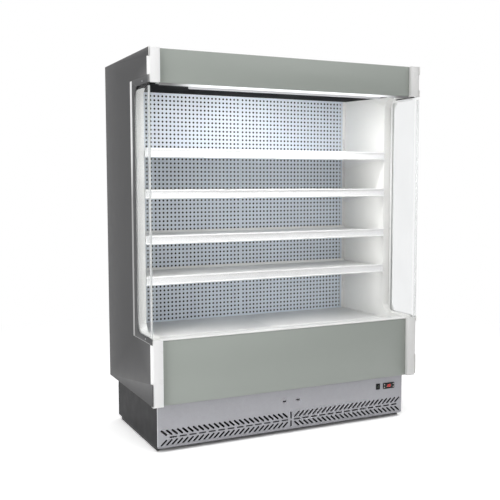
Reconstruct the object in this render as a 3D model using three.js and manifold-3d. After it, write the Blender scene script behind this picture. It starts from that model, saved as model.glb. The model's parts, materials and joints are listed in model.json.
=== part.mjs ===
// Open multideck display fridge: a self-contained 1560 mm cabinet between two glazed end walls.
// Millimetres, +Z up. The open front faces -Y, and the origin is on the floor under the middle.

import * as THREE from 'three';
import { mergeVertices } from 'three/addons/utils/BufferGeometryUtils.js';
import Module from 'manifold-3d';

const wasm = await Module();
wasm.setup();

// ---- driving dimensions -------------------------------------------------------------------

const moduleLength = 1560; // clear length between the end walls
const endWall = 62.5; // thickness of one end wall over its outer cover
const cabinetDepth = 800;
const cabinetHeight = 2120;
const seat = 0.3; // gap left between pieces that rest on or touch each other
const sheet = 2; // folded sheet steel
const fold = 3; // slant that stands for the radius of a panel's front folds
const skin = 3; // wall of a plastic moulding

const footHeight = 25; // floor to the underside of the plinth
const footRadius = 27;
const studRadius = 7;
const footInset = 55; // feet from the sides of the base frame
const footSetback = 96; // and from its front and rear
const gusset = 4; // corner plate that a foot is screwed into
const frameBar = 30; // square bar of the base frame
const frameClear = 10; // foot nut and jaw under the base frame
const bodyBottom = 275; // underside of the insulated body and of the side covers
const plinthInset = 48; // plinth behind the side covers
const plinthSetback = 73; // plinth behind the front edge
const plinthRearInset = 10;
const louvreGap = 11; // plinth panel below the body
const rearVents = 20; // upright slots in the rear of the plinth
const rearVentPitch = 34;
const rearVentWidth = 10;
const rearVentHeight = 120;

const coverSheet = 5; // side cover with its hem
const windowBack = 298; // rear edge of the window cut-out, behind the front edge
const windowBottom = 600;
const windowDrop = 137; // top edge of the window cut-out below the top
const bandRear = 52; // dark band round the clear glass
const bandBottom = 33;
const bandTop = 54;
const bandThickness = 4;
const glassThickness = 12;
const glassLap = 20; // glass held behind the band
const glassFrontInset = 5;
const windowCorner = 55; // radius of the clear opening's rear corners

const linerLap = 30; // thick part of the end wall past the window cut-out's rear edge
const linerRise = 30; // sill of the reveal over the window cut-out's lower edge
const linerLift = 1; // head of the reveal over the fascia's lower edge

const fasciaSetback = 22;
const fasciaHeight = 173;
const fasciaLap = 8; // rear fold of the fascia over the roof
const bumperSetback = 24;
const bumperDrop = 7; // lower edge of the bumper panel under the body
const frontRailRise = 22; // front rail over the window cut-out's lower edge
const bumperTopDrop = 8; // upper edge of the bumper panel under the front rail
const frontRailLip = 7;

const capSetback = 3; // end caps behind the front edge of the side covers
const capDepth = 29;
const capCorner = 6; // an end cap's corner inside its side cover
const capProud = 3; // bulged part of an end cap beyond the side cover
const capBulgeCorner = 16;
const canopyBulgeHeight = 91.7;
const bumperBulgeBottom = 394;

const tubSetback = 45;
const tubWall = 50;
const tubTopDrop = 11; // tub's front wall under the front rail
const tubFall = 14; // fall of the tub's floor towards its drain
const tubCorner = 40;
const rearWall = 52;
const rearInset = 3;
const ribInset = 80; // pressed ribs of the rear wall from its ends
const roofThickness = 50;
const roofDrop = 8; // roof below the top of the covers
const roofSetback = 62;
const roofChamfer = 12;

const ductDepth = 28; // air duct between the perforated back and the rear wall
const ductLap = 30; // back and uprights reach this far below the deck
const ductRise = 2; // and this far over the rear edge of the ceiling
const ductReturn = 14;
const holePitch = 25; // pitch of the upright slots and of the back's perforation
const uprightWidth = 21.5;
const uprightSlotWidth = 5;
const uprightSlotHeight = 14;
const slotsBelow = 200; // slots go on below the lowest price rail's top
const slotsAbove = 100; // and over the highest one's

const grilleDrop = 18; // return grille under the front rail
const deckDrop = 14; // deck pans under the return grille
const deckSetback = 180;
const deckHem = 22;
const deckLip = 3; // front lip of a deck pan over the return grille
const grilleSlotWidth = 18;
const grilleSlotPitch = 37.5;
const grilleHem = 16;
const grilleBorder = 13;

const ceilingRise = 11; // front of the ceiling over the fascia's lower edge
const ceilingSlope = 19; // rise of the ceiling to its rear edge
const ceilingFlange = 38;
const ceilingRearFlange = 30;
const honeycombSetback = 86;
const honeycombDepth = 44;
const honeycombHeight = 22;
const honeycombCells = 21;
const honeycombWall = 2.4;

const lampLength = 1200;
const lampSetback = 32;
const lampDepth = 46;
const lampHeight = 20;

const shelfHeights = [1625, 1400, 1150, 925]; // top edges of the price rails
const railReach = 6; // price rails in front of the thick part of the end walls
const railHeight = 45;
const railThickness = 1.6;
const railLip = 6;
const railOverhang = 2; // price rail past each end of its shelf
const shelfDrop = 12; // shelf face below the top of its price rail
const shelfHem = 30;
const shelfEndGap = 4;
const shelfBackLip = 14;
const shelfBackGap = 4; // air slot between a shelf and the back
const bracketThickness = 3;
const bracketFront = 22;
const bracketRear = 74;
const bracketHeel = 60; // level stretch under the bracket's rear end
const hookReach = 7;
const hookDrop = 9;
const hookHalf = 4; // half height of a hook's neck

const louvrePitch = 30;
const louvreLength = 44;
const louvreWidth = 9;
const louvreAngle = 41; // degrees from level
const louvreMargin = 18; // plain stretch at each end of the panel
const louvreMiddle = 16.5; // middle of the pattern, right of the cabinet's middle
const upperRow = 106;
const dashRow = 78;
const lowerRow = 51;
const middleSlot = 36;
const middleSlotWidth = 8;
const dashPitch = 56.25;
const dashLength = 42;
const dashHeight = 7;
const peepWidth = 24;
const peepHeight = 9;
const peepSpread = 88.6;
const peepRow = 189;

const switchInset = 177; // switch from the right end of the plinth
const switchZ = 202;
const switchWidth = 28;
const switchHeight = 36;
const switchBezel = 2.4;
const rockerWidth = 17;
const rockerHeight = 24;
const rockerTilt = 9; // degrees that the rocker tips each way from the middle
const rockerPin = 4; // rocker's pin behind the panel's front
const rockerFace = 5.5; // pin to the middle of the rocker's face
const rockerBelly = 6;
const rockerClearance = 0.5;
const controllerInset = 99; // controller from the right end of the plinth
const controllerZ = 201;
const controllerWidth = 80;
const controllerHeight = 36;
const controllerBezel = 4;
const controllerLap = 4; // bezel over the edge of its cut-out
const switchLap = 3;
const controllerBody = 58;
const displayWidth = 46;
const displayHeight = 20;
const keyWidth = 8;
const keyHeight = 8;
const keySpread = 32.5; // middle of the controller to the middle of a key
const keyRise = 8.5;
const keyTravel = 0.8;
const keyLength = 3;
const keyGap = 0.4; // round a key in its well
const keyProud = keyTravel + 0.4; // a key still stands out when it is pressed

const unitInset = 62.2; // unit tray from the left posts of the base frame
const unitRight = 60;
const condenserInset = 60; // condenser from the left end of the tray
const trayLip = 18;
const condenserLength = 320;
const condenserDepth = 66;
const condenserHeadroom = 17.4;
const condenserFins = 20;
const condenserFanRadius = 84;
const compressorRadius = 78;
const compressorHeight = 172;
const compressorX = -110;
const compressorY = 150;
const evaporatorLength = 1240;
const evaporatorDepth = 190;
const evaporatorHeadroom = 68.4;
const evaporatorFins = 26;
const evaporatorSetback = 470;
const fanPlateSetback = 300;
const fanEdge = 18.5; // least sheet over and under an evaporator fan's opening
const evaporatorFanSpread = 380;
const fanClearance = 5;
const hubRadius = 26;
const hubLength = 23;
const fanBlades = 5;
const bladePitch = 24; // degrees
const fanSetIn = 18; // middle of a fan wheel behind the front of its plate
const fanArm = 8; // width of a motor arm
const fanArmSetback = 46;
const motorRadius = 34;
const motorBack = 29; // motor behind its arms
const shaftRadius = 7;
const boxLength = 210;
const boxDepth = 130;
const boxHeight = 118;

// ---- places worked out from them ----------------------------------------------------------

const inner = moduleLength / 2;
const outer = inner + endWall;
const front = -cabinetDepth / 2;
const rear = cabinetDepth / 2;
const top = cabinetHeight;
const windowTop = top - windowDrop;
const fasciaBottom = top - fasciaHeight;
const linerSetback = windowBack - linerLap;
const linerBottom = windowBottom + linerRise;
const linerTop = fasciaBottom + linerLift;
const railSetback = linerSetback - railReach;
const frontRailTop = windowBottom + frontRailRise;
const bumperTop = frontRailTop - bumperTopDrop;
const bumperBottom = bodyBottom - bumperDrop;
const tubTop = frontRailTop - tubTopDrop;
const grilleTop = frontRailTop - grilleDrop;
const deckTop = grilleTop - deckDrop;
const louvreTop = bodyBottom - louvreGap;
const span = inner - seat; // half length of what fits between the end walls
const coverInside = outer - coverSheet;
const liner = front + linerSetback;
const capFront = front + capSetback;
const capBack = capFront + capDepth;
const coreFront = capBack + seat;
const rearFace = rear - rearInset;
const rearInside = rearFace - rearWall;
const ductFace = rearInside - ductDepth;
const plinthHalf = outer - plinthInset;
const plinthFront = front + plinthSetback;
const plinthRear = rear - plinthRearInset;
const frameHalf = plinthHalf - sheet - seat;
const frameFront = plinthFront + sheet + seat;
const frameRear = plinthRear - sheet - seat;
const frameBottom = footHeight + frameClear;
const trayBottom = frameBottom + frameBar + seat;
const unitFloor = trayBottom + sheet + seat;
const roofTop = top - roofDrop;
const roofBottom = roofTop - roofThickness;
const tubFront = front + tubSetback;
const tubInside = tubFront + tubWall;
const tubFloor = bodyBottom + tubWall;
const drainY = tubInside + tubCorner;
const frontRailBack = tubInside + seat + sheet;
const tilt = THREE.MathUtils.degToRad(rockerTilt);
const rockerLean = Math.tan(tilt) * rockerHeight / 2; // depth of the V in the rocker's face
const canopyBulgeBottom = windowTop + seat;
const canopyBulgeTop = canopyBulgeBottom + canopyBulgeHeight;
const ceilingSetback = honeycombSetback + honeycombDepth + seat;
const ceilingFront = fasciaBottom + ceilingRise;
const ceilingRear = ceilingFront + ceilingSlope;
const ductBottom = deckTop - ductLap;
const ductTop = ceilingRear + ductRise;
const firstSlot = Math.min(...shelfHeights) - slotsBelow;
const lastSlot = Math.max(...shelfHeights) + slotsAbove;
const switchX = plinthHalf - switchInset;
const controllerX = plinthHalf - controllerInset;
const unitLeft = -frameHalf + frameBar + unitInset;
const condenserHeight = bodyBottom - condenserHeadroom - unitFloor;
const uprightX = inner - seat - uprightWidth / 2;
const ductHalf = inner - 2 * seat - uprightWidth;
const shelfHalf = inner - shelfEndGap;

// ---- tools for closed solids ----------------------------------------------------------------

function toSolid(geometry) {
  const bare = geometry.index ? geometry.toNonIndexed() : geometry.clone();
  bare.deleteAttribute('normal');
  bare.deleteAttribute('uv');
  const merged = mergeVertices(bare, 1e-4);
  return new wasm.Manifold(new wasm.Mesh({
    numProp: 3,
    vertProperties: new Float32Array(merged.attributes.position.array),
    triVerts: new Uint32Array(merged.index.array),
  }));
}

function toGeometry(solid) {
  const mesh = solid.getMesh();
  const geometry = new THREE.BufferGeometry();
  geometry.setAttribute('position', new THREE.BufferAttribute(new Float32Array(mesh.vertProperties), 3));
  geometry.setIndex(Array.from(mesh.triVerts));
  return geometry;
}

function join(first, ...others) {
  return toGeometry(others.reduce((solid, next) => solid.add(toSolid(next)), toSolid(first)));
}

function cut(first, ...tools) {
  return toGeometry(tools.reduce((solid, tool) => solid.subtract(toSolid(tool)), toSolid(first)));
}

function mirrored(geometry) {
  const copy = geometry.index ? geometry.toNonIndexed() : geometry.clone();
  copy.scale(-1, 1, 1);
  const place = copy.attributes.position;
  for (let i = 0; i < place.count; i += 3) {
    const second = new THREE.Vector3().fromBufferAttribute(place, i + 1);
    const third = new THREE.Vector3().fromBufferAttribute(place, i + 2);
    place.setXYZ(i + 1, third.x, third.y, third.z);
    place.setXYZ(i + 2, second.x, second.y, second.z);
  }
  return copy;
}

function outline(points) {
  return new THREE.Shape(points.map(([a, b]) => new THREE.Vector2(a, b)));
}

// A shape drawn in (y, z), pulled along X.
function alongX(shape, x0, x1, curveSegments = 6) {
  const geometry = new THREE.ExtrudeGeometry(shape, { depth: x1 - x0, bevelEnabled: false, curveSegments });
  geometry.applyMatrix4(new THREE.Matrix4().set(0, 0, 1, x0, 1, 0, 0, 0, 0, 1, 0, 0, 0, 0, 0, 1));
  return geometry;
}

// A shape drawn in (x, z), pulled along Y.
function alongY(shape, y0, y1, curveSegments = 6) {
  const geometry = new THREE.ExtrudeGeometry(shape, { depth: y1 - y0, bevelEnabled: false, curveSegments });
  geometry.applyMatrix4(new THREE.Matrix4().set(1, 0, 0, 0, 0, 0, -1, y1, 0, 1, 0, 0, 0, 0, 0, 1));
  return geometry;
}

// A shape drawn in (x, y), pulled along Z.
function alongZ(shape, z0, z1, curveSegments = 6) {
  const geometry = new THREE.ExtrudeGeometry(shape, { depth: z1 - z0, bevelEnabled: false, curveSegments });
  return geometry.translate(0, 0, z0);
}

function block(x0, x1, y0, y1, z0, z1) {
  return new THREE.BoxGeometry(x1 - x0, y1 - y0, z1 - z0)
    .translate((x0 + x1) / 2, (y0 + y1) / 2, (z0 + z1) / 2);
}

function rectangle(a, b, width, height) {
  return [
    [a - width / 2, b - height / 2], [a + width / 2, b - height / 2],
    [a + width / 2, b + height / 2], [a - width / 2, b + height / 2],
  ];
}

// A rectangle with a straight cut at each corner.
function softRectangle(a, b, width, height, corner) {
  const right = width / 2;
  const high = height / 2;
  return [
    [-right + corner, -high], [right - corner, -high], [right, -high + corner], [right, high - corner],
    [right - corner, high], [-right + corner, high], [-right, high - corner], [-right, -high + corner],
  ].map(([u, v]) => [a + u, b + v]);
}

// The hole that a snapped-in body goes through, smaller than its bezel by the lap.
function cutOut(a, b, width, height, lap) {
  return rectangle(a, b, width - 2 * lap + 2 * seat, height - 2 * lap + 2 * seat);
}

// A slot with pointed-round ends, turned by an angle in degrees.
function slot(a, b, length, width, degrees) {
  const turn = THREE.MathUtils.degToRad(degrees);
  const flank = length / 2 - width / 3;
  const corners = [
    [-flank, -width / 2], [flank, -width / 2], [length / 2, 0],
    [flank, width / 2], [-flank, width / 2], [-length / 2, 0],
  ];
  return corners.map(([u, v]) => [
    a + u * Math.cos(turn) - v * Math.sin(turn),
    b + u * Math.sin(turn) + v * Math.cos(turn),
  ]);
}

// A folded sheet of even thickness: the outer line of the section, and the thickness to its left.
function folded(points, thickness) {
  const line = points.map(([a, b]) => new THREE.Vector2(a, b));
  const inside = line.map((point, i) => {
    const before = line[Math.max(i - 1, 0)];
    const after = line[Math.min(i + 1, line.length - 1)];
    const normals = [];
    if (i > 0) normals.push(point.clone().sub(before).normalize());
    if (i < line.length - 1) normals.push(after.clone().sub(point).normalize());
    const sides = normals.map((way) => new THREE.Vector2(-way.y, way.x));
    const mean = sides.reduce((sum, side) => sum.add(side), new THREE.Vector2()).normalize();
    return point.clone().addScaledVector(mean, thickness / mean.dot(sides[0]));
  });
  return new THREE.Shape([...line, ...inside.reverse()]);
}

function revolve(profile, segments = 24) {
  const geometry = new THREE.LatheGeometry(profile.map(([r, z]) => new THREE.Vector2(r, z)), segments);
  return geometry.rotateX(Math.PI / 2);
}

// ---- base: frame, feet and plinth -----------------------------------------------------------

function baseFrame() {
  const low = frameBottom;
  const high = frameBottom + frameBar;
  const channel = (y0, y1) => alongX(
    folded(y0 < 0
      ? [[y1, high], [y0, high], [y0, low], [y1, low]]
      : [[y0, low], [y1, low], [y1, high], [y0, high]], 4),
    -frameHalf, frameHalf);
  const crossX = [-frameHalf, unitRight + seat, frameHalf - frameBar];
  const crosses = crossX.map((x) => block(x, x + frameBar, frameFront, frameRear, low, high));
  const heads = [-frameHalf, frameHalf - frameBar].map((x) => (
    block(x, x + frameBar, frameFront, frameRear, bodyBottom - frameBar, bodyBottom)));
  const posts = [-frameHalf, frameHalf - frameBar].flatMap((x) => (
    [frameFront, frameRear - frameBar].map((y) => (
      block(x, x + frameBar, y, y + frameBar, low, bodyBottom)))));
  const plateWidth = footInset + footRadius;
  const plateDepth = footSetback + footRadius;
  const plates = [-frameHalf, frameHalf - plateWidth].flatMap((x) => (
    [frameFront, frameRear - plateDepth].map((y) => (
      block(x, x + plateWidth, y, y + plateDepth, low, low + gusset)))));
  return join(
    channel(frameFront, frameFront + frameBar),
    channel(frameRear - frameBar, frameRear),
    ...crosses, ...heads, ...posts, ...plates);
}

function foot() {
  return revolve([
    [0, 0], [footRadius - 2, 0], [footRadius, 3], [footRadius, 7], [footRadius * 0.55, 12],
    [studRadius * 1.8, 13], [studRadius * 1.8, 20], [studRadius, 21],
    [studRadius, frameBottom - seat], [0, frameBottom - seat],
  ], 12);
}

function plinthSurround() {
  const side = plinthHalf;
  const open = frameFront - seat;
  const back = plinthRear;
  const plan = outline([
    [-side, open], [-side, back], [side, back], [side, open], [side - sheet, open],
    [side - sheet, back - sheet], [-side + sheet, back - sheet], [-side + sheet, open],
  ]);
  const vents = [];
  for (let i = 0; i < rearVents; i += 1) {
    const x = unitLeft + rearVentPitch * (i + 1);
    const vent = rectangle(x, (footHeight + bodyBottom) / 2, rearVentWidth, rearVentHeight);
    vents.push(alongY(outline(vent), back - 3 * sheet, back + sheet));
  }
  return cut(alongZ(plan, footHeight, bodyBottom - seat), ...vents);
}

// ---- front panel of the plinth with its herringbone of slots ----------------------------------

// Slots of one half of the herringbone. side is +1 right of the middle and -1 left of it.
function louvreHalf(side) {
  const room = plinthHalf - side * louvreMiddle - louvreMargin;
  const count = Math.floor(room / louvrePitch);
  const slots = [];
  for (let i = 0; i < count; i += 1) {
    const x = louvreMiddle + side * louvrePitch * (i + 0.75);
    slots.push(slot(x, upperRow, louvreLength, louvreWidth, side * louvreAngle));
    slots.push(slot(x, lowerRow, louvreLength, louvreWidth, -side * louvreAngle));
  }
  const reach = louvrePitch * (count + 0.25);
  for (let i = 0; dashPitch * i + dashLength < reach; i += 1) {
    const x = louvreMiddle + side * (dashPitch * i + dashLength / 2 + 9);
    slots.push(rectangle(x, dashRow, dashLength, dashHeight));
  }
  return slots;
}

function louvrePanel() {
  const side = plinthHalf;
  const corner = 5;
  const shape = outline([
    [-side + corner, footHeight], [side - corner, footHeight], [side, footHeight + corner],
    [side, louvreTop], [-side, louvreTop], [-side, footHeight + corner],
  ]);
  const holes = [
    ...louvreHalf(1),
    ...louvreHalf(-1),
    slot(louvreMiddle, upperRow, middleSlot, middleSlotWidth, 90),
    slot(louvreMiddle, lowerRow, middleSlot, middleSlotWidth, 90),
    ...[-1, 1].map((way) => (
      rectangle(louvreMiddle + 2 + way * peepSpread / 2, peepRow, peepWidth, peepHeight))),
    cutOut(switchX, switchZ, switchWidth, switchHeight, switchLap),
    cutOut(controllerX, controllerZ, controllerWidth, controllerHeight, controllerLap),
  ];
  const panel = alongY(shape, plinthFront, plinthFront + sheet);
  return cut(panel, ...holes.map((hole) => (
    alongY(outline(hole), plinthFront - sheet, plinthFront + 2 * sheet))));
}

// ---- switch and controller --------------------------------------------------------------------

function switchHousing() {
  const face = plinthFront - seat;
  const bezel = block(switchX - switchWidth / 2, switchX + switchWidth / 2, face - switchBezel, face,
    switchZ - switchHeight / 2, switchZ + switchHeight / 2);
  const halfWidth = switchWidth / 2 - switchLap;
  const halfHeight = switchHeight / 2 - switchLap;
  const body = block(switchX - halfWidth, switchX + halfWidth, face, face + 24,
    switchZ - halfHeight, switchZ + halfHeight);
  const wellWidth = rockerWidth / 2 + rockerClearance;
  const wellHeight = Math.hypot(rockerHeight / 2, rockerFace + rockerLean) + rockerClearance;
  const well = block(switchX - wellWidth, switchX + wellWidth, face - 2 * switchBezel,
    plinthFront + rockerPin + rockerBelly + rockerClearance, switchZ - wellHeight, switchZ + wellHeight);
  return cut(join(bezel, body), well);
}

// The rocker stands about its own pin: a shallow V in front and a round belly behind.
function rocker() {
  const half = rockerHeight / 2;
  const edge = 1.2; // edge taken off the two ends
  const tip = -rockerFace - rockerLean;
  const shape = new THREE.Shape();
  shape.moveTo(-rockerFace, 0);
  shape.lineTo(tip, -half + edge);
  shape.lineTo(tip + edge, -half);
  shape.absarc(0, 0, rockerBelly, -2.1, 2.1, false);
  shape.lineTo(tip + edge, half);
  shape.lineTo(tip, half - edge);
  shape.closePath();
  return alongX(shape, -rockerWidth / 2, rockerWidth / 2, 8);
}

function keyPlaces() {
  return [[-1, 1], [-1, -1], [1, 1], [1, -1]].map(([side, rise]) => (
    [controllerX + side * keySpread, controllerZ + rise * keyRise]));
}

function controller() {
  const face = plinthFront - seat;
  const halfWidth = controllerWidth / 2 - controllerLap;
  const halfHeight = controllerHeight / 2 - controllerLap;
  const plate = softRectangle(controllerX, controllerZ, controllerWidth, controllerHeight, 3);
  const bezel = alongY(outline(plate), face - controllerBezel, face);
  const body = block(controllerX - halfWidth, controllerX + halfWidth, face, face + controllerBody,
    controllerZ - halfHeight, controllerZ + halfHeight);
  const display = block(controllerX - displayWidth / 2, controllerX + displayWidth / 2,
    face - controllerBezel - 1, face - controllerBezel + 1,
    controllerZ - displayHeight / 2, controllerZ + displayHeight / 2);
  const wells = keyPlaces().map(([x, z]) => alongY(
    outline(rectangle(x, z, keyWidth + 2 * keyGap, keyHeight + 2 * keyGap)),
    face - controllerBezel - 1, face - controllerBezel + keyLength - keyProud + keyTravel + seat));
  return cut(join(bezel, body), display, ...wells);
}

// A key stands about the middle of its front face.
function key() {
  return alongY(outline(softRectangle(0, 0, keyWidth, keyHeight, 1.5)), 0, keyLength);
}

// ---- condensing unit behind the plinth panel --------------------------------------------------

function unitTray() {
  const y0 = frameFront + 1;
  const y1 = frameRear - 1;
  const low = trayBottom;
  return cut(
    block(unitLeft, unitRight, y0, y1, low, low + trayLip),
    block(unitLeft + sheet, unitRight - sheet, y0 + sheet, y1 - sheet, low + sheet, low + trayLip + 1));
}

// Fins stand side by side on a back slab, as a comb.
function finBlock(x0, length, fins, z0, height, y0, y1) {
  const pitch = length / fins;
  const points = [[x0, z0]];
  for (let i = 0; i < fins; i += 1) {
    const x = x0 + i * pitch;
    points.push([x, z0 + height], [x + pitch * 0.35, z0 + height]);
    if (i < fins - 1) points.push([x + pitch * 0.35, z0 + height * 0.12], [x + pitch, z0 + height * 0.12]);
  }
  points.push([x0 + pitch * (fins - 0.65), z0]);
  return alongY(outline(points), y0, y1);
}

// Return bends join the tube ends on one side of a fin block.
function returnBends(x, side, places, reach, radius) {
  return places.map(([y, z]) => {
    const path = new THREE.CatmullRomCurve3([
      new THREE.Vector3(x - side * 4, y, z - reach / 2), new THREE.Vector3(x + side * 10, y, z - reach / 2),
      new THREE.Vector3(x + side * 20, y, z), new THREE.Vector3(x + side * 10, y, z + reach / 2),
      new THREE.Vector3(x - side * 4, y, z + reach / 2),
    ]);
    const ring = new THREE.Shape().absarc(0, 0, radius, 0, 2 * Math.PI, false);
    return new THREE.ExtrudeGeometry(ring, { steps: 6, curveSegments: 3, extrudePath: path });
  });
}

const condenserLeft = unitLeft + condenserInset;
const condenserFront = frameFront + frameBar + 6;
const condenserBack = condenserFront + condenserDepth;

function condenser() {
  const fins = finBlock(condenserLeft, condenserLength, condenserFins, unitFloor, condenserHeight,
    condenserFront, condenserBack);
  const endX = condenserLeft + condenserLength;
  const plates = [condenserLeft - 2, endX - condenserLength / condenserFins * 0.65 - 1].map((x) => (
    block(x, x + 3, condenserFront, condenserBack, unitFloor, unitFloor + condenserHeight)));
  const middle = (condenserFront + condenserBack) / 2;
  const levels = [0.21, 0.47, 0.74].map((up) => [middle, unitFloor + up * condenserHeight]);
  return join(fins, ...plates, ...returnBends(condenserLeft - 2, -1, levels, 25, 4.5));
}

const condenserFanX = condenserLeft + condenserLength / 2 - 4;
const condenserFanZ = unitFloor + condenserHeight / 2;

// A plate with round air ways, and behind each of them four arms that carry the fan's motor.
function fanMount(x0, x1, z0, z1, places, radius, y) {
  const opening = radius + fanClearance;
  const round = (r, y0, y1, sides) => (
    new THREE.CylinderGeometry(r, r, y1 - y0, sides).translate(0, (y0 + y1) / 2, 0));
  const bores = places.map(([x, z]) => round(opening, y - sheet, y + 2 * sheet, 24).translate(x, 0, z));
  const plate = cut(block(x0, x1, y, y + sheet, z0, z1), ...bores);
  const reach = opening + 1.5 * fanArm;
  const armBack = y + fanArmSetback;
  const armFront = armBack - fanArm / 2;
  const half = fanArm / 2;
  const bar = block(0, reach, armFront, armBack, -half, half);
  const post = block(reach - fanArm, reach, y + sheet / 2, armBack, -half, half);
  const arms = [0.5, 2.6, 3.7, 5.8].flatMap((turn) => [bar, post].map((piece) => (
    piece.clone().applyMatrix4(new THREE.Matrix4().makeRotationY(turn)))));
  const motor = round(motorRadius, armFront, armBack + motorBack, 12);
  const shaft = round(shaftRadius, y + fanSetIn + hubLength / 2 + seat, armFront + 1, 8);
  const pieces = places.flatMap(([x, z]) => (
    [motor, shaft, ...arms].map((piece) => piece.clone().translate(x, 0, z))));
  return join(plate, ...pieces);
}

// A fan wheel about the origin that turns round Y: a domed hub and swept blades at a pitch.
function fanWheel(radius) {
  const end = hubLength / 2;
  const hub = new THREE.LatheGeometry([
    new THREE.Vector2(0, -end - 3), new THREE.Vector2(hubRadius * 0.7, -end - 1),
    new THREE.Vector2(hubRadius, -end + 5), new THREE.Vector2(hubRadius, end), new THREE.Vector2(0, end),
  ], 12);
  const blade = new THREE.Shape();
  const root = hubRadius - 5;
  blade.moveTo(root, -root / 2);
  blade.quadraticCurveTo(radius * 0.62, -radius * 0.42, radius * 0.9, -radius * 0.44);
  blade.absarc(0, 0, radius, -0.45, 0.22, false);
  blade.quadraticCurveTo(radius * 0.6, radius * 0.12, root, root / 2);
  const pitch = THREE.MathUtils.degToRad(bladePitch);
  const blades = [];
  for (let i = 0; i < fanBlades; i += 1) {
    const flat = alongY(blade, -sheet / 2, sheet / 2, 2).rotateX(pitch);
    blades.push(flat.applyMatrix4(new THREE.Matrix4().makeRotationY(i * 2 * Math.PI / fanBlades)));
  }
  return join(hub, ...blades);
}

function compressor() {
  const r = compressorRadius;
  const h = compressorHeight;
  const dome = revolve([
    [0, 14], [r * 0.5, 14], [r * 0.86, 22], [r * 0.97, 40], [r * 0.97, h * 0.54],
    [r, h * 0.55], [r, h * 0.59], [r * 0.95, h * 0.6], [r * 0.95, h * 0.8],
    [r * 0.78, h * 0.94], [r * 0.4, h], [0, h],
  ], 18);
  const base = alongZ(outline(rectangle(0, 0, r * 2.3, r * 1.5)), 11, 14.5);
  const grommets = [[-1, -1], [-1, 1], [1, -1], [1, 1]].map(([a, b]) => (
    new THREE.CylinderGeometry(9, 9, 14, 10).rotateX(Math.PI / 2).translate(a * r, b * r * 0.58, 7)));
  const terminals = block(r * 0.8, r * 1.35, -34, 34, h * 0.3, h * 0.7);
  const stubs = [[-0.5, 0.35], [-0.2, -0.55]].map(([a, b]) => (
    new THREE.CylinderGeometry(5, 5, 30, 8).rotateX(Math.PI / 2).translate(a * r, b * r, h * 0.95)));
  return join(dome, base, ...grommets, terminals, ...stubs);
}

function electricalBox() {
  const x1 = frameHalf - frameBar - 6;
  const y0 = plinthFront + controllerBody + 22;
  const high = bodyBottom - seat;
  const low = high - boxHeight;
  const lid = 3;
  return join(
    block(x1 - boxLength, x1, y0 + lid, y0 + boxDepth, low, high),
    block(x1 - boxLength + 6, x1 - 6, y0, y0 + lid + 1, low + 6, high - 6));
}

// ---- insulated body ---------------------------------------------------------------------------

// Height of the tub's floor, which falls forward to the drain.
function floorAt(y) {
  return tubFloor + tubFall * (y - drainY) / (rearInside - seat - drainY);
}

function insulatedTub() {
  const low = bodyBottom + seat;
  const back = rearInside - seat;
  return alongX(outline([
    [tubFront, low], [back, low], [back, floorAt(back)], [drainY, tubFloor],
    [tubInside + tubCorner * 0.3, tubFloor + tubCorner * 0.3], [tubInside, tubFloor + tubCorner],
    [tubInside, tubTop], [tubFront, tubTop],
  ]), -span, span);
}

function rearWallPanel() {
  const low = bodyBottom + seat;
  const high = roofTop;
  const ribs = [-2, -1, 0, 1, 2].map((i) => {
    const x = i * moduleLength / 5.5;
    return alongZ(outline([
      [x - 16, rearFace + 1], [x - 16, rearFace], [x - 11, rearFace - 3], [x + 11, rearFace - 3],
      [x + 16, rearFace], [x + 16, rearFace + 1],
    ]), low + ribInset, high - ribInset);
  });
  return cut(block(-span, span, rearInside, rearFace, low, high), ...ribs);
}

function roofPanel() {
  const y0 = front + roofSetback;
  const y1 = rearInside - seat;
  return alongX(outline([
    [y0, roofBottom], [y1, roofBottom], [y1, roofTop],
    [y0 + roofChamfer, roofTop], [y0, roofTop - roofChamfer],
  ]), -span, span);
}

// The clear reveal is open to the front and has round corners at the back.
function openFrontShape(edge, back, low, high, corner) {
  const shape = new THREE.Path();
  shape.moveTo(edge, low);
  shape.lineTo(back - corner, low);
  shape.absarc(back - corner, low + corner, corner, -Math.PI / 2, 0, false);
  shape.lineTo(back, high - corner);
  shape.absarc(back - corner, high - corner, corner, 0, Math.PI / 2, false);
  shape.lineTo(edge, high);
  return shape.getPoints(6).map((point) => [point.x, point.y]);
}

function glassOutline(grow) {
  const y0 = front + glassFrontInset - grow;
  const back = front + windowBack - bandRear + glassLap + grow;
  const low = windowBottom + bandBottom - glassLap - grow;
  const high = windowTop - bandTop + glassLap + grow;
  const neckLow = frontRailTop + seat - grow;
  const neckHigh = fasciaBottom - seat + grow;
  const neck = capBack + seat - grow;
  return outline([
    [y0, neckLow], [neck, neckLow], [neck, low], [back - 20, low], [back, low + 20],
    [back, high - 20], [back - 20, high], [neck, high], [neck, neckHigh], [y0, neckHigh],
  ]);
}

const glassOuter = outer - bandThickness - seat;
const glassInner = glassOuter - glassThickness;

function endWallCore() {
  const reveal = openFrontShape(coreFront, liner, linerBottom, linerTop, windowCorner);
  const shape = outline([
    [rearFace, bodyBottom + seat], [coreFront, bodyBottom + seat], ...reveal,
    [coreFront, roofTop], [rearFace, roofTop],
  ]);
  const core = alongX(shape, inner, coverInside - seat);
  return cut(core, alongX(glassOutline(seat), glassInner - seat, outer));
}

function sideCover() {
  const notch = capFront + capBulgeCorner + seat;
  const back = front + windowBack;
  return alongX(outline([
    [rear, bodyBottom], [front, bodyBottom], [front, bumperBulgeBottom - seat],
    [notch, bumperBulgeBottom - seat], [notch, windowBottom], [back, windowBottom],
    [back, windowTop], [notch, windowTop], [notch, canopyBulgeTop + seat],
    [front, canopyBulgeTop + seat], [front, top], [rear, top],
  ]), coverInside, outer);
}

function sideGlass() {
  return alongX(glassOutline(0), glassInner, glassOuter);
}

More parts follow.
